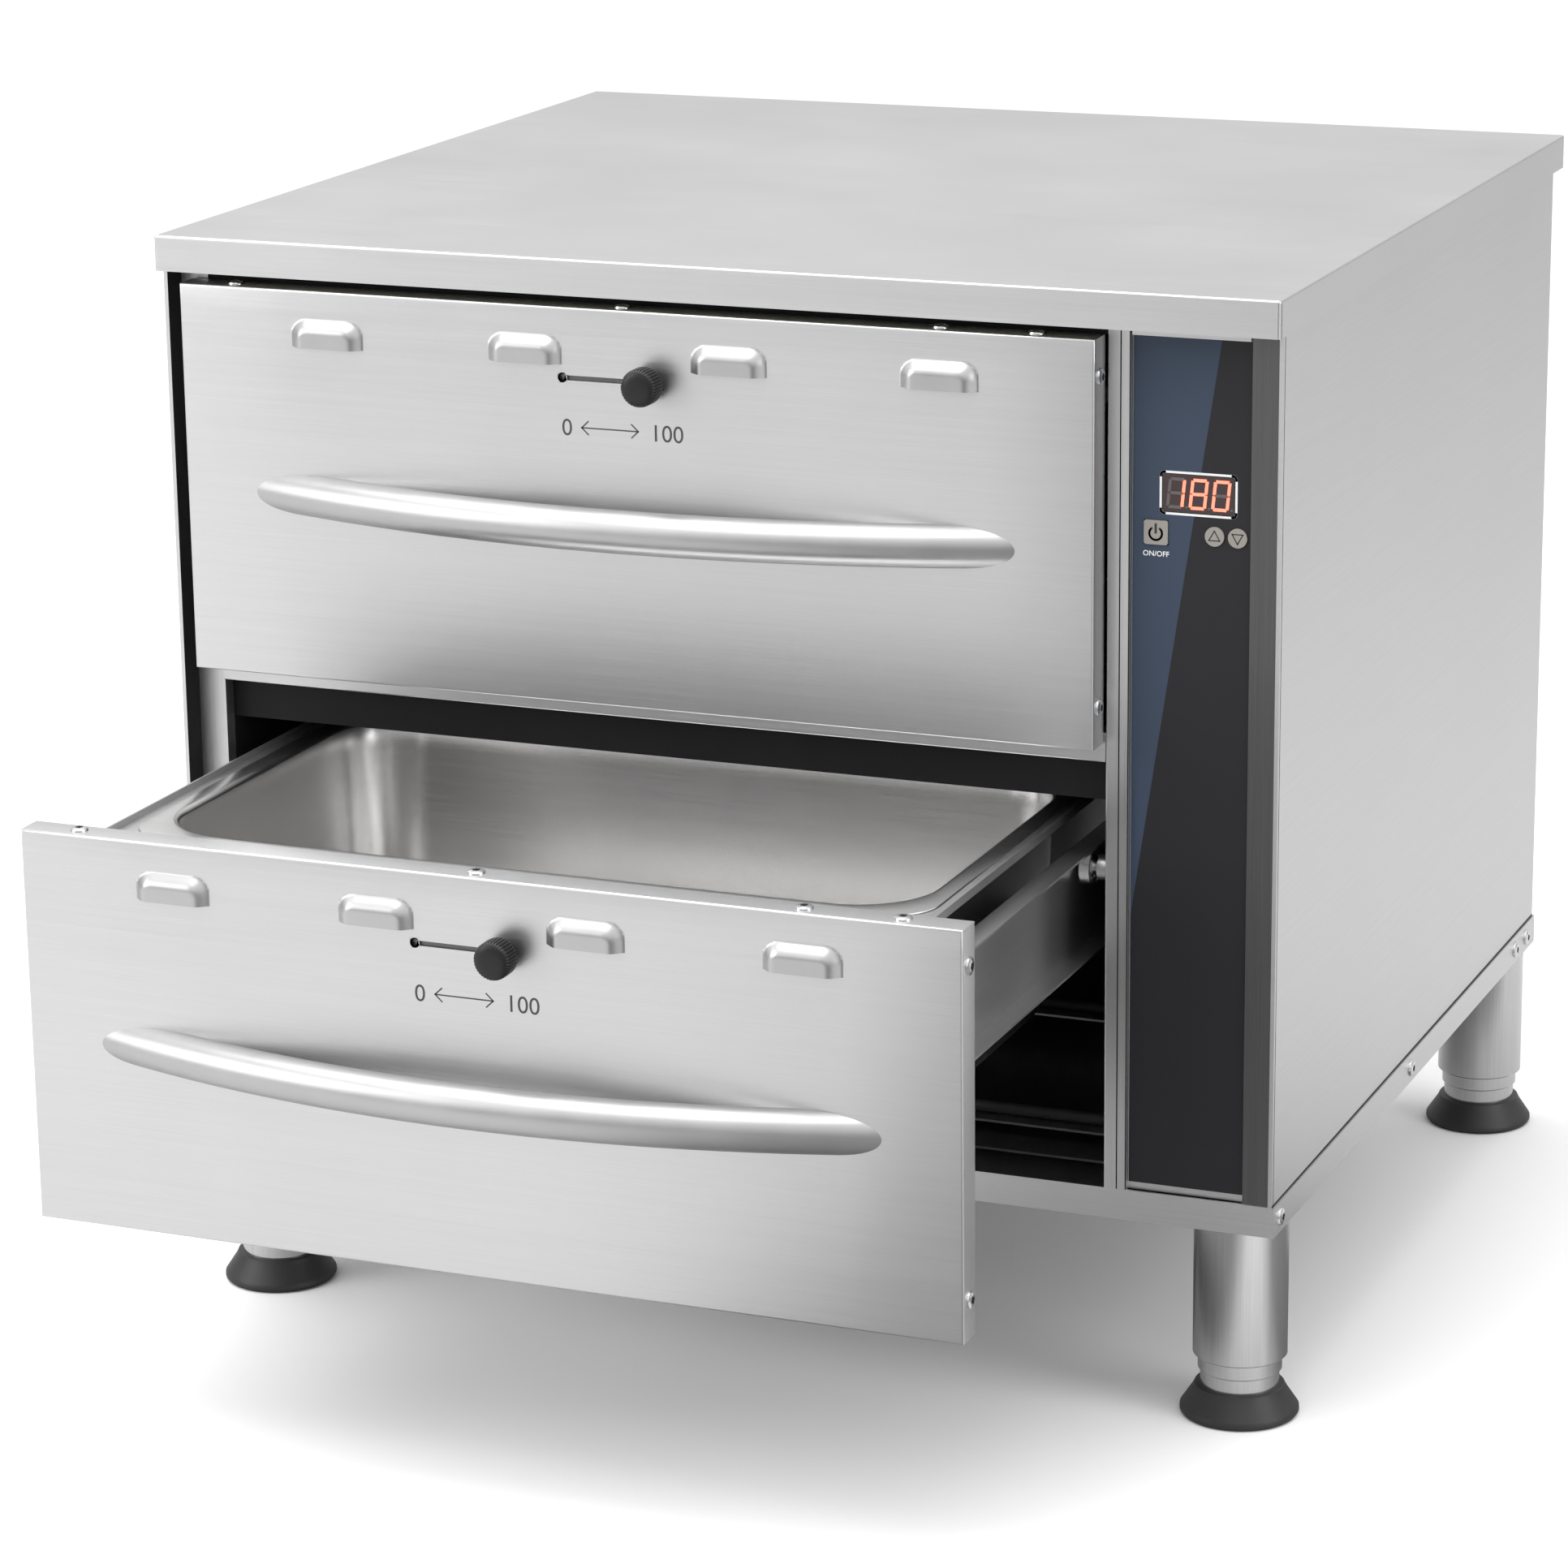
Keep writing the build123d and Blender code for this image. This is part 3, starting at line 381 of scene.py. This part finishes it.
# ------------------------------------------------------------- drawer fronts
LOUVRES = [(-253.0 + 138.0 * i) * MM for i in range(4)]
HOOD_W, HOOD_H, HOOD_OUT, HOOD_R = 50.5 * MM, 18.0 * MM, 6.0 * MM, 12 * MM
HOOD_RUN = 9.0 * MM
HOOD_DROP, SLOT_DROP = 36 * MM, 44.5 * MM
MOUTH = 0.2 * MM
EDGE = 1.5 * MM
FRONT_WALL = 1.4 * MM
SLOT_R, SLOT_HALF, KEY_X, KEY_R = -28.4 * MM, 1.6 * MM, -89.5 * MM, 3.2 * MM
KEY_HALF = 3.4 * MM


def hood_height(x, z, foot):
    """How far the pressed louvres stand out of the face."""
    best = 0.0
    for centre in LOUVRES:
        qx = abs(x - centre) - (HOOD_W / 2 - HOOD_R)
        qz = z - (foot + HOOD_H - HOOD_R)
        if z < foot - TINY or qx > HOOD_R or qz > HOOD_R:
            continue
        inside = HOOD_R - (math.hypot(qx, qz) if qx > 0 and qz > 0 else max(qx, qz))
        t = min(max(inside / HOOD_RUN, 0.0), 1.0)
        best = max(best, HOOD_OUT * math.sin(t * math.pi / 2) ** 1.15)
    return best


def front_panel(title):
    """A folded front: louvres pressed out of its grid, then the slot, the rim and the returns."""
    low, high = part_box(f"{title}_front_panel")
    face, back = low.y + HOOD_OUT, high.y
    left, right, foot, top = low.x, high.x, low.z, high.z
    hood_foot, slot_z = top - HOOD_DROP, top - SLOT_DROP
    xs = [left + EDGE, right - EDGE, KEY_X - KEY_HALF, KEY_X + KEY_HALF, SLOT_R]
    for centre in LOUVRES:
        xs += [centre - HOOD_W / 2 - 2 * MOUTH, centre + HOOD_W / 2 + 2 * MOUTH]
        xs += span(centre - HOOD_W / 2, centre + HOOD_W / 2, 36)
    zs = [foot + EDGE, top - EDGE, slot_z - KEY_HALF, slot_z - SLOT_HALF, slot_z + SLOT_HALF,
          slot_z + KEY_HALF, hood_foot - 3 * MOUTH, hood_foot - MOUTH, hood_foot + HOOD_H + 2 * MOUTH]
    zs += span(hood_foot, hood_foot + HOOD_H, 20)
    xs, zs = sorted(set(xs)), sorted(set(zs))

    def on_rim(vert):
        gaps = (vert.co.x - xs[0], vert.co.x - xs[-1], vert.co.z - zs[0], vert.co.z - zs[-1])
        return abs(vert.co.y - face) < TINY and min(abs(gap) for gap in gaps) < TINY

    def by_key(vert):
        return max(abs(vert.co.x - KEY_X), abs(vert.co.z - slot_z)) < KEY_HALF + TINY

    def open_edges():
        return [edge for edge in bm.edges if len(edge.link_faces) == 1]

    bm = bmesh.new()
    grid = bmesh.ops.create_grid(bm, x_segments=len(xs) - 1, y_segments=len(zs) - 1, size=1.0)
    for vert in grid["verts"]:
        x = xs[round((vert.co.x + 1) / 2 * (len(xs) - 1))]
        z = zs[round((vert.co.y + 1) / 2 * (len(zs) - 1))]
        vert.co = Vector((x, face - hood_height(x, z, hood_foot), z))
    doomed = []
    for cell in bm.faces:
        middle = cell.calc_center_median()
        mouth = hood_foot - MOUTH < middle.z < hood_foot and any(
            abs(middle.x - centre) < HOOD_W / 2 for centre in LOUVRES)
        slit = abs(middle.z - slot_z) < SLOT_HALF and KEY_X + KEY_HALF < middle.x < SLOT_R
        keyhole = abs(middle.z - slot_z) < KEY_HALF and abs(middle.x - KEY_X) < KEY_HALF
        if mouth or slit or keyhole:
            doomed.append(cell)
    bmesh.ops.delete(bm, geom=doomed, context="FACES")
    # the hood faces take the darker copy of the steel, painted shade
    for cell in bm.faces:
        if any(v.co.y < face - 2 * MOUTH for v in cell.verts):
            cell.material_index = 1
    # the keyhole's round edge
    square = [edge for edge in open_edges() if all(by_key(v) for v in edge.verts)]
    stand = Matrix.Translation((KEY_X, face, slot_z)) @ Matrix.Rotation(math.pi / 2, 4, "X")
    ring = bmesh.ops.create_circle(bm, segments=24, radius=KEY_R, matrix=stand)["verts"]
    bmesh.ops.bridge_loops(bm, edges=square + list({edge for v in ring for edge in v.link_edges}))
    # thickness of the cut edges
    cut = [edge for edge in open_edges() if not all(on_rim(v) for v in edge.verts)]
    for item in bmesh.ops.extrude_edge_only(bm, edges=cut)["geom"]:
        if isinstance(item, bmesh.types.BMVert):
            item.co.y += FRONT_WALL
    # rounded outer edge, then the returns
    rim = [edge for edge in open_edges() if all(on_rim(v) for v in edge.verts)]
    steps = [(EDGE * math.sin(a), EDGE * (1 - math.cos(a)))
             for a in (math.radians(d) for d in (0, 22.5, 45, 67.5, 90))]
    steps += [(EDGE, back - face), (0.0, back - face)]
    for (out0, y0), (out1, y1) in zip(steps, steps[1:]):
        grown = bmesh.ops.extrude_edge_only(bm, edges=rim)["geom"]
        rim = [item for item in grown if isinstance(item, bmesh.types.BMEdge)]
        for vert in (item for item in grown if isinstance(item, bmesh.types.BMVert)):
            x, z = vert.co.x, vert.co.z
            vert.co.y += y1 - y0
            if x < left + EDGE + TINY:
                vert.co.x -= out1 - out0
            elif x > right - EDGE - TINY:
                vert.co.x += out1 - out0
            if z < foot + EDGE + TINY:
                vert.co.z -= out1 - out0
            elif z > top - EDGE - TINY:
                vert.co.z += out1 - out0
    piece(f"{title}_front", bm, [across_grain, pressed_steel_shaded], f"{title}_drawer",
          "brushed_steel", f"{title}_front_panel", angle=50)


# -------------------------------------------------------------- drawer handle
BAR_R, HANDLE_HALF, HANDLE_REACH = 13.5 * MM, 258.5 * MM, 44 * MM


def handle(title):
    """A round bar bent to one radius and cut by the face of the front."""
    low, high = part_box(f"{title}_handle")
    face = high.y
    centre_x, z = (low.x + high.x) / 2, (low.z + high.z) / 2
    outer = (HANDLE_HALF ** 2 + HANDLE_REACH ** 2) / (2 * HANDLE_REACH)
    pivot = Vector((centre_x, face - HANDLE_REACH + outer, z))
    end = math.acos((pivot.y - face) / outer)
    section = Matrix.Translation(pivot) @ Matrix.Rotation(-end, 4, "Z")
    section = section @ Matrix.Translation((0, BAR_R - outer, 0)) @ Matrix.Rotation(math.pi / 2, 4, "Y")
    bm = bmesh.new()
    ring = bmesh.ops.create_circle(bm, segments=48, radius=BAR_R, matrix=section)["verts"]
    edges = list({edge for v in ring for edge in v.link_edges})
    bmesh.ops.spin(bm, geom=ring + edges, cent=pivot, axis=(0, 0, 1), angle=2 * end, steps=72)
    bmesh.ops.bisect_plane(bm, geom=bm.verts[:] + bm.edges[:] + bm.faces[:], dist=1e-7,
                           plane_co=(0, face, 0), plane_no=(0, 1, 0), clear_outer=True)
    piece(f"{title}_bar_handle", bm, handle_steel, f"{title}_drawer", "handle_steel",
          f"{title}_handle", angle=80)


# ------------------------------------------------------------------- food pan
PAN_RIM, PAN_CORNER, PAN_OUTER, PAN_DEPTH = 13 * MM, 50 * MM, 30 * MM, 150 * MM
PAN_WALL, PAN_LEAN = 1.2 * MM, math.tan(math.radians(3.0))
PAN_TURN_IN, PAN_TURN_OUT = 17 * MM, 18 * MM


def food_pan(title):
    """A drawn pan: rolled rim, leaning inside and floor, then the outer skin."""
    low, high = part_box(f"{title}_pan")
    cx, cy, rim = (low.x + high.x) / 2, (low.y + high.y) / 2, high.z
    half_x, half_y = (high.x - low.x) / 2, (high.y - low.y) / 2

    def body(inset, drop):
        return rounded(half_x - PAN_RIM - inset, half_y - PAN_RIM - inset, PAN_CORNER - inset,
                       cx, cy, rim - drop, 14)

    def flange(inset, drop):
        return rounded(half_x - inset, half_y - inset, PAN_OUTER - inset, cx, cy, rim - drop, 14)

    def floor_turn(base, depth, radius, nudge):
        for i in range(8):
            a = math.radians(90.0 * (i + 1) / 8)
            sunk = radius * (1 - math.cos(a))
            inset = base + sunk - nudge
            yield rounded(half_x - PAN_RIM - inset, half_y - PAN_RIM - inset,
                          PAN_CORNER - base - 0.9 * sunk, cx, cy,
                          rim - depth + radius * (1 - math.sin(a)), 14)

    rolled = [flange(inset, drop) for inset, drop in in_mm((1.2, 1.15), (0.3, 1.0), (0.0, 0.6),
                                                           (0.3, 0.15), (1.2, 0.0))]
    inside = [body(inset, drop) for inset, drop in in_mm((-3.2, 0.0), (-1.2, 0.3), (0.2, 1.2), (1.0, 3.0))]
    inside += [body(PAN_WALL + PAN_LEAN * drop * MM, drop * MM) for drop in (20, 60, 100, 130)]
    depth = PAN_DEPTH - PAN_WALL
    inside += floor_turn(PAN_WALL + PAN_LEAN * depth, depth, PAN_TURN_IN, 0.2 * MM)
    skin = [rolled[0], body(-1.0 * MM, PAN_WALL)]
    skin += [body(PAN_LEAN * drop * MM, PAN_WALL + drop * MM) for drop in (3, 20, 60, 100, 130)]
    skin += floor_turn(PAN_LEAN * PAN_DEPTH, PAN_WALL + PAN_DEPTH, PAN_TURN_OUT, 0.0)
    bm = bmesh.new()
    loft(bm, rolled + inside, close=True)
    loft(bm, skin, close=True)
    piece(f"{title}_food_pan", bm, pan_steel, f"{title}_drawer", "pan_steel", f"{title}_pan", angle=40)


# ------------------------------------------------------------------ vent knob
KNOB_R, KNURLS, KNURL_DEEP = 12 * MM, 36, 0.045
KNOB_PROFILE = ((0.0, 0.0), (0.62, 0.0), (0.64, 0.16), (0.93, 0.24), (0.98, 0.30), (1.0, 0.36),
                (1.0, 0.80), (0.97, 0.88), (0.86, 0.95), (0.6, 0.99), (0.3, 1.0), (0.0, 1.0))


def knob(title):
    """A turned knob whose widest part is knurled."""
    low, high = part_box(f"{title}_vent_knob")
    x, z = (low.x + high.x) / 2, (low.z + high.z) / 2
    bm = bmesh.new()
    lathe(bm, [(KNOB_R * share, (high.y - low.y) * up) for share, up in KNOB_PROFILE],
          (x, high.y, z), (0, -1, 0), 4 * KNURLS)
    for vert in bm.verts:
        across, rise = vert.co.x - x, vert.co.z - z
        radius = math.hypot(across, rise)
        if radius > 0.95 * KNOB_R:
            cut = KNURL_DEEP * KNOB_R * max(0.0, math.cos(KNURLS * math.atan2(rise, across)))
            vert.co.x, vert.co.z = x + across * (1 - cut / radius), z + rise * (1 - cut / radius)
    piece(f"{title}_knurled_knob", bm, black_plastic, f"{title}_vent", "black_plastic",
          f"{title}_vent_knob", angle=40)


# screw places: along the top, in from the face, and from the top and foot of the right return
TOP_SCREWS, SCREW_IN = (-322.0, -52.0, 158.5, 220.0), 10 * MM
SIDE_DROP, SIDE_RISE = 24 * MM, 25 * MM


def front_screws(title):
    """Four screws in the front's top return and two in its right one."""
    low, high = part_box(f"{title}_front_panel")
    y = low.y + HOOD_OUT + SCREW_IN
    bm = bmesh.new()
    screw_heads(bm, [(x * MM, y, high.z) for x in TOP_SCREWS], (0, 0, 1))
    screw_heads(bm, [(high.x, y, z) for z in (high.z - SIDE_DROP, low.z + SIDE_RISE)], (1, 0, 0))
    piece(f"{title}_front_screws", bm, [bright_metal, black_lining_and_shade], f"{title}_drawer",
          "screw_steel", f"{title}_drawer_screws")


for title in ("upper", "lower"):
    front_panel(title)
    handle(title)
    food_pan(title)
    knob(title)
    front_screws(title)

# --------------------------------------------------------------- case screws
FLANGE_RUNS, FLANGE_RISE = (14.0, 318.0, 600.0, 632.0), 10 * MM
REAR_SCREWS, REAR_IN = (-335, 335), 30 * MM
tray_low, tray_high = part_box("base_tray")
cover_low, cover_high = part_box("top_cover")
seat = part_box("case_screws")[1].x - SCREW_UP
rear_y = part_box("back_panel")[1].y
rear_places = [(x * MM, rear_y, z) for x in REAR_SCREWS
               for z in (tray_high.z + REAR_IN, cover_low.z - REAR_IN)]
bm = bmesh.new()
for side in (-1, 1):
    screw_heads(bm, [(side * seat, tray_low.y + run * MM, tray_low.z + FLANGE_RISE)
                     for run in FLANGE_RUNS], (side, 0, 0))
screw_heads(bm, rear_places, (0, 1, 0))
piece("casing_screws", bm, [bright_metal, black_lining_and_shade], "cabinet", "screw_steel", "case_screws")

# -------------------------------------------------------- seams of the sheets and painted shade lines
post_low, post_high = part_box("divider_post")
side_low, side_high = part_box("right_side_panel")
HAIR, POST_SEAM, SIDE_DARK_LINE = 0.06 * MM, 0.8 * MM, 1.2 * MM
bm = bmesh.new()
# painted shade: dark lines down the divider post's grooves
for x in (post_low.x + 8.2 * MM, post_high.x - 0.9 * MM):
    block(bm, (x, post_low.y - HAIR, post_low.z), (x + POST_SEAM, post_low.y + HAIR, cover_low.z))
# painted shadow: a dark line on the right panel under the lid's overhang, and the same dark line along the
# base
for z in (cover_low.z - SIDE_DARK_LINE, tray_high.z):
    block(bm, (side_high.x - HAIR, side_low.y, z), (side_high.x + HAIR, side_high.y, z + SIDE_DARK_LINE))
# painted shade: a dark line along the right panel's front fold
block(bm, (side_high.x - HAIR, side_low.y + 2.8 * MM, tray_high.z),
      (side_high.x + HAIR, side_low.y + 3.5 * MM, cover_low.z))
# a dark seam at the lid's front corner
block(bm, (cover_high.x - HAIR, cover_low.y + 2.1 * MM, cover_low.z),
      (cover_high.x, cover_low.y + 2.9 * MM, cover_high.z - 2 * MM))
piece("seams_and_painted_shade_lines", bm, black_lining_and_shade, "cabinet", "brushed_steel")

# -------------------------------------------------------------- legs and feet
LEG_R = 30 * MM
LEG_PROFILE = in_mm((27, 0), (29.2, 0), (30, 0.8), (30, 90), (29, 91), (6, 91), (6, 112), (0, 112))
LEG_BORE = in_mm((27, 0), (27, 80), (0, 80))
SLEEVE_PROFILE = in_mm((0, 20), (25.1, 20), (25.1, 29.4), (25.6, 30), (26.7, 30.6), (26.7, 71.4),
                       (26.1, 72), (0, 72))
PAD_PROFILE = in_mm((0, 0), (34.5, 0), (36.8, 0.7), (37.9, 2.4), (37.8, 4.6), (36.6, 6.4),
                    (30.6, 15.4), (29.2, 18.0), (28.6, 19.4), (27.6, 20), (0, 20))
low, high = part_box("leg_tubes")
bm = bmesh.new()
for x in (low.x + LEG_R, high.x - LEG_R):
    for y in (low.y + LEG_R, high.y - LEG_R):
        lathe(bm, LEG_PROFILE, (x, y, low.z), (0, 0, 1))
        lathe(bm, LEG_BORE, (x, y, low.z), (0, 0, 1))
piece("round_legs", bm, leg_steel, "cabinet", "brushed_steel", "leg_tubes")
for corner in ("front_left", "front_right", "rear_left", "rear_right"):
    low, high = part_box(f"{corner}_foot_pad")
    foot_middle = ((low.x + high.x) / 2, (low.y + high.y) / 2, 0)
    bm = bmesh.new()
    lathe(bm, SLEEVE_PROFILE, foot_middle, (0, 0, 1))
    piece(f"{corner}_sleeve", bm, leg_steel, f"{corner}_foot", "brushed_steel", f"{corner}_foot_sleeve")
    bm = bmesh.new()
    lathe(bm, PAD_PROFILE, foot_middle, (0, 0, 1))
    piece(f"{corner}_rubber", bm, rubber, f"{corner}_foot", "black_rubber", f"{corner}_foot_pad")

# ------------------------------------------------------------------- rollers
ROLLER_WIDE = 8 * MM
ROLLER_PROFILE = in_mm((4.06, 0.4), (6.6, 0.4), (7.2, 1.2), (8.6, 1.2), (9.2, 0.2), (11.2, 0),
                       (12, 0.8), (12, 7.2), (11.2, 8), (9.2, 7.8), (8.6, 6.8), (7.2, 6.8),
                       (6.6, 7.6), (4.06, 7.6), (4.06, 0.4))
for title in ("upper", "lower"):
    for end in ("front", "rear"):
        node = f"{title}_{end}_rollers"
        low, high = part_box(node)
        bm = bmesh.new()
        for x in (low.x, high.x - ROLLER_WIDE):
            lathe(bm, ROLLER_PROFILE, (x, (low.y + high.y) / 2, (low.z + high.z) / 2), (1, 0, 0), 48)
        piece(f"{node}_turned", bm, bright_metal, node, "roller_steel", node)


# --------------------------------------------------------- numbers and icons
def letters(bm, words, x, y, z, size, bold=0.0):
    """Flat printed words on a face that looks along -Y."""
    curve = bpy.data.curves.new("words", "FONT")
    curve.body = words
    curve.size = size
    curve.extrude = INK_UP
    curve.offset = bold
    curve.align_x = "CENTER"
    holder = bpy.data.objects.new("words", curve)
    mesh = bpy.data.meshes.new_from_object(holder)
    mesh.transform(Matrix.Translation((x, y, z)) @ Matrix.Rotation(math.pi / 2, 4, "X"))
    bm.from_mesh(mesh)
    bpy.data.objects.remove(holder)
    bpy.data.meshes.remove(mesh)
    bpy.data.curves.remove(curve)


def strokes(bm, points, width, y, depth):
    """A flat line through points (x, z), made of thin bars."""
    for (x0, z0), (x1, z1) in zip(points, points[1:]):
        run = math.hypot(x1 - x0, z1 - z0)
        place = Matrix.Translation(((x0 + x1) / 2, y, (z0 + z1) / 2))
        turn = Matrix.Rotation(-math.atan2(z1 - z0, x1 - x0), 4, "Y")
        size = Matrix.Diagonal((run + width * 0.9, depth * 2, width, 1.0))
        bmesh.ops.create_cube(bm, size=1.0, matrix=place @ turn @ size)


LEGEND_DROP, LEGEND_SIZE = 81 * MM, 15.2 * MM
ZERO_X, HUNDRED_X = -87.0 * MM, -19.0 * MM
ARROW_LINE, ARROW_UP, ARROW_TIPS, BARB = 0.9 * MM, 5.4 * MM, ((-77, 1), (-38.5, -1)), (4.5, 4.2)
for title in ("upper", "lower"):
    low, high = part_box(f"{title}_front_panel")
    face = low.y + HOOD_OUT
    z = high.z - LEGEND_DROP
    bm = bmesh.new()
    letters(bm, "0", ZERO_X, face, z, LEGEND_SIZE)
    letters(bm, "100", HUNDRED_X, face, z, LEGEND_SIZE)
    mid = z + ARROW_UP
    strokes(bm, [(tip * MM, mid) for tip, way in ARROW_TIPS], ARROW_LINE, face, INK_UP)
    for tip, way in ARROW_TIPS:
        barb_x, barb_up = (tip + BARB[0] * way) * MM, BARB[1] * MM
        strokes(bm, [(barb_x, mid + barb_up), (tip * MM, mid), (barb_x, mid - barb_up)],
                ARROW_LINE, face, INK_UP)
    piece(f"{title}_legend", bm, ink, f"{title}_drawer", "black_plastic")

# ---------------------------------------------------- the overlay's display
DISPLAY_X, DISPLAY_Z = 318.0, 599.0
POWER_X, POWER_Z = 291.5 * MM, 573.4 * MM
film_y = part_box("graphic_overlay")[0].y
bm = bmesh.new()
letters(bm, "ON/OFF", POWER_X, film_y, 559.2 * MM, 4.6 * MM, 0.05 * MM)
ring = rounded(23.8 * MM, 12.8 * MM, 2.6 * MM, DISPLAY_X * MM, DISPLAY_Z * MM, 0, 6)
outline = [(point.x, point.y) for point in ring]
strokes(bm, outline + outline[:1], 1.4 * MM, film_y, 0.06 * MM)
piece("overlay_legend", bm, white_ink, "cabinet", "overlay")

SEGMENTS = {
    "a": (-1, 1, 1, 1), "b": (1, 1, 1, 0), "c": (1, 0, 1, -1), "d": (-1, -1, 1, -1),
    "e": (-1, 0, -1, -1), "f": (-1, 1, -1, 0), "g": (-1, 0, 1, 0),
}
DIGITS = {"1": "bc", "8": "abcdefg", "0": "abcdef"}
DIGIT_HALF_W, DIGIT_HALF_H, DIGIT_LEAN, DIGIT_PITCH = 4.5, 8.6, 0.10, 14.2
BAR_WIDE, BAR_TRIM, DOT, DOT_ACROSS, DOT_DOWN = 1.9 * MM, 1.2 * MM, 1.3 * MM, 6.6, 8.4
lens_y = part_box("display_module")[0].y
for lit in (True, False):
    bm = bmesh.new()
    for place, digit in zip((-DIGIT_PITCH, 0.0, DIGIT_PITCH), "180"):
        for name, corners in SEGMENTS.items():
            if (name in DIGITS[digit]) != lit:
                continue
            ends = []
            for sx, sz in (corners[:2], corners[2:]):
                up = sz * DIGIT_HALF_H
                ends.append(Vector(((DISPLAY_X + place + sx * DIGIT_HALF_W + up * DIGIT_LEAN) * MM,
                                    (DISPLAY_Z + up) * MM)))
            trim = (ends[1] - ends[0]).normalized() * BAR_TRIM
            strokes(bm, [ends[0] + trim, ends[1] - trim], BAR_WIDE, lens_y, ICON_UP)
        if not lit:
            dot = ((DISPLAY_X + place + DOT_ACROSS) * MM, lens_y + 0.6 * MM, (DISPLAY_Z - DOT_DOWN) * MM)
            bmesh.ops.create_cube(bm, size=DOT, matrix=Matrix.Translation(dot))
    piece("digits_lit" if lit else "digits_dim", bm, digit_lit if lit else digit_dim, "cabinet", "display")

key_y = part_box("power_button")[0].y
bm = bmesh.new()
arc = [(POWER_X + 4.0 * MM * math.cos(a), POWER_Z + 4.0 * MM * math.sin(a))
       for a in (math.radians(d) for d in span(130, 410, 24))]
strokes(bm, arc, 1.3 * MM, key_y, ICON_UP)
strokes(bm, [(POWER_X, POWER_Z + 0.6 * MM), (POWER_X, POWER_Z + 5.6 * MM)], 1.5 * MM, key_y, ICON_UP)
piece("power_icon", bm, icon_ink, "power_button", "button_grey")
for name, way in (("up", 1), ("down", -1)):
    low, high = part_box(f"{name}_button")
    x, z = (low.x + high.x) / 2, (low.z + high.z) / 2
    bm = bmesh.new()
    corners = [(x + across * MM, z + rise * way * MM)
               for across, rise in ((-3.4, -2.4), (3.4, -2.4), (0, 3.6))]
    strokes(bm, corners + corners[:1], 0.7 * MM, low.y, ICON_UP)
    piece(f"{name}_icon", bm, icon_ink, f"{name}_button", "button_grey")

# ---------------------------------------------------------------------- stage
FLOOR_HALF = 40.0
# the floor throws less light back in these two directions, as degrees from +X
DIM_LOBES = (-68.0, 2.0)
floor_mesh = bpy.data.meshes.new("floor")
bm = bmesh.new()
bmesh.ops.create_grid(bm, x_segments=1, y_segments=1, size=FLOOR_HALF)
bm.to_mesh(floor_mesh)
bm.free()
floor = bpy.data.objects.new("floor", floor_mesh)
bpy.context.scene.collection.objects.link(floor)
pale = Finish("floor_pale", (0.9, 0.9, 0.9), 0.9)
camera_ray = pale.node("ShaderNodeLightPath", output="Is Camera Ray")
x, y, _ = pale.axes()
reach = (x * x + y * y + 0.0001).math("SQRT")
lobes = 0.0
for degrees in DIM_LOBES:
    aim = math.radians(degrees)
    lobes = (x * math.cos(aim) + y * math.sin(aim)).math("DIVIDE", reach).above(0.94, 0.08) + lobes
bounce = pale.blend(lobes.clamp(), (0.64, 0.64, 0.64), (0.22, 0.22, 0.22))
pale.set("Base Color", pale.blend(camera_ray, bounce, (0.9, 0.9, 0.9)))
pale.shader.inputs["Specular IOR Level"].default_value = 0.0
floor_mesh.materials.append(pale.material)

world = bpy.data.worlds.new("studio")
bpy.context.scene.world = world
world.use_nodes = True
tree = world.node_tree
back = tree.nodes["Background"]
way = tree.nodes.new("ShaderNodeTexCoord")
split = tree.nodes.new("ShaderNodeSeparateXYZ")
tree.links.new(way.outputs["Generated"], split.inputs[0])
up = Link(tree, split.outputs[2])
path = tree.nodes.new("ShaderNodeLightPath")
seen = Link(tree, path.outputs["Is Camera Ray"])
level = up.above(0.28, 0.55) * 0.75 + 0.42
tree.links.new((level * (1.0 - seen) + seen).socket, back.inputs["Strength"])
back.inputs["Color"].default_value = (1.0, 1.0, 1.0, 1.0)


def soft_box(name, place, aim, width, height, power):
    lamp = bpy.data.lights.new(name, "AREA")
    lamp.shape = "RECTANGLE"
    lamp.size, lamp.size_y, lamp.energy = width, height, power
    holder = bpy.data.objects.new(name, lamp)
    bpy.context.scene.collection.objects.link(holder)
    holder.matrix_world = turned(place, Vector(place) - Vector(aim))


soft_box("top_box", (-0.6, -0.4, 3.4), (0, 0.1, 0.5), 3.0, 2.4, 95)
soft_box("left_box", (-3.0, -2.6, 1.9), (0, 0, 0.45), 2.0, 2.4, 60)
soft_box("right_box", (3.4, -0.8, 1.6), (0.3, 0.2, 0.4), 1.6, 2.2, 38)

# --------------------------------------------------------------------- camera
EYE = (1.2248, -3.0499, 1.2627)
FOCAL, FRAME = 6283.7, 1932.0
azimuth, elevation, roll = math.radians(22.35), math.radians(15.68), math.radians(-0.7246)
away = Vector((math.sin(azimuth) * math.cos(elevation), -math.cos(azimuth) * math.cos(elevation),
               math.sin(elevation)))
right = Vector((math.cos(azimuth), math.sin(azimuth), 0.0))
above = away.cross(right)
right, above = (right * math.cos(roll) + above * math.sin(roll),
                above * math.cos(roll) - right * math.sin(roll))
camera_data = bpy.data.cameras.new("camera")
camera_data.sensor_width = 36.0
camera_data.lens = FOCAL / FRAME * camera_data.sensor_width
camera_data.clip_end = 100.0
camera = bpy.data.objects.new("camera", camera_data)
bpy.context.scene.collection.objects.link(camera)
turn = Matrix((right, above, away)).transposed().to_4x4()
camera.matrix_world = Matrix.Translation(EYE) @ turn
bpy.context.scene.camera = camera
bpy.context.scene.view_settings.view_transform = "Standard"
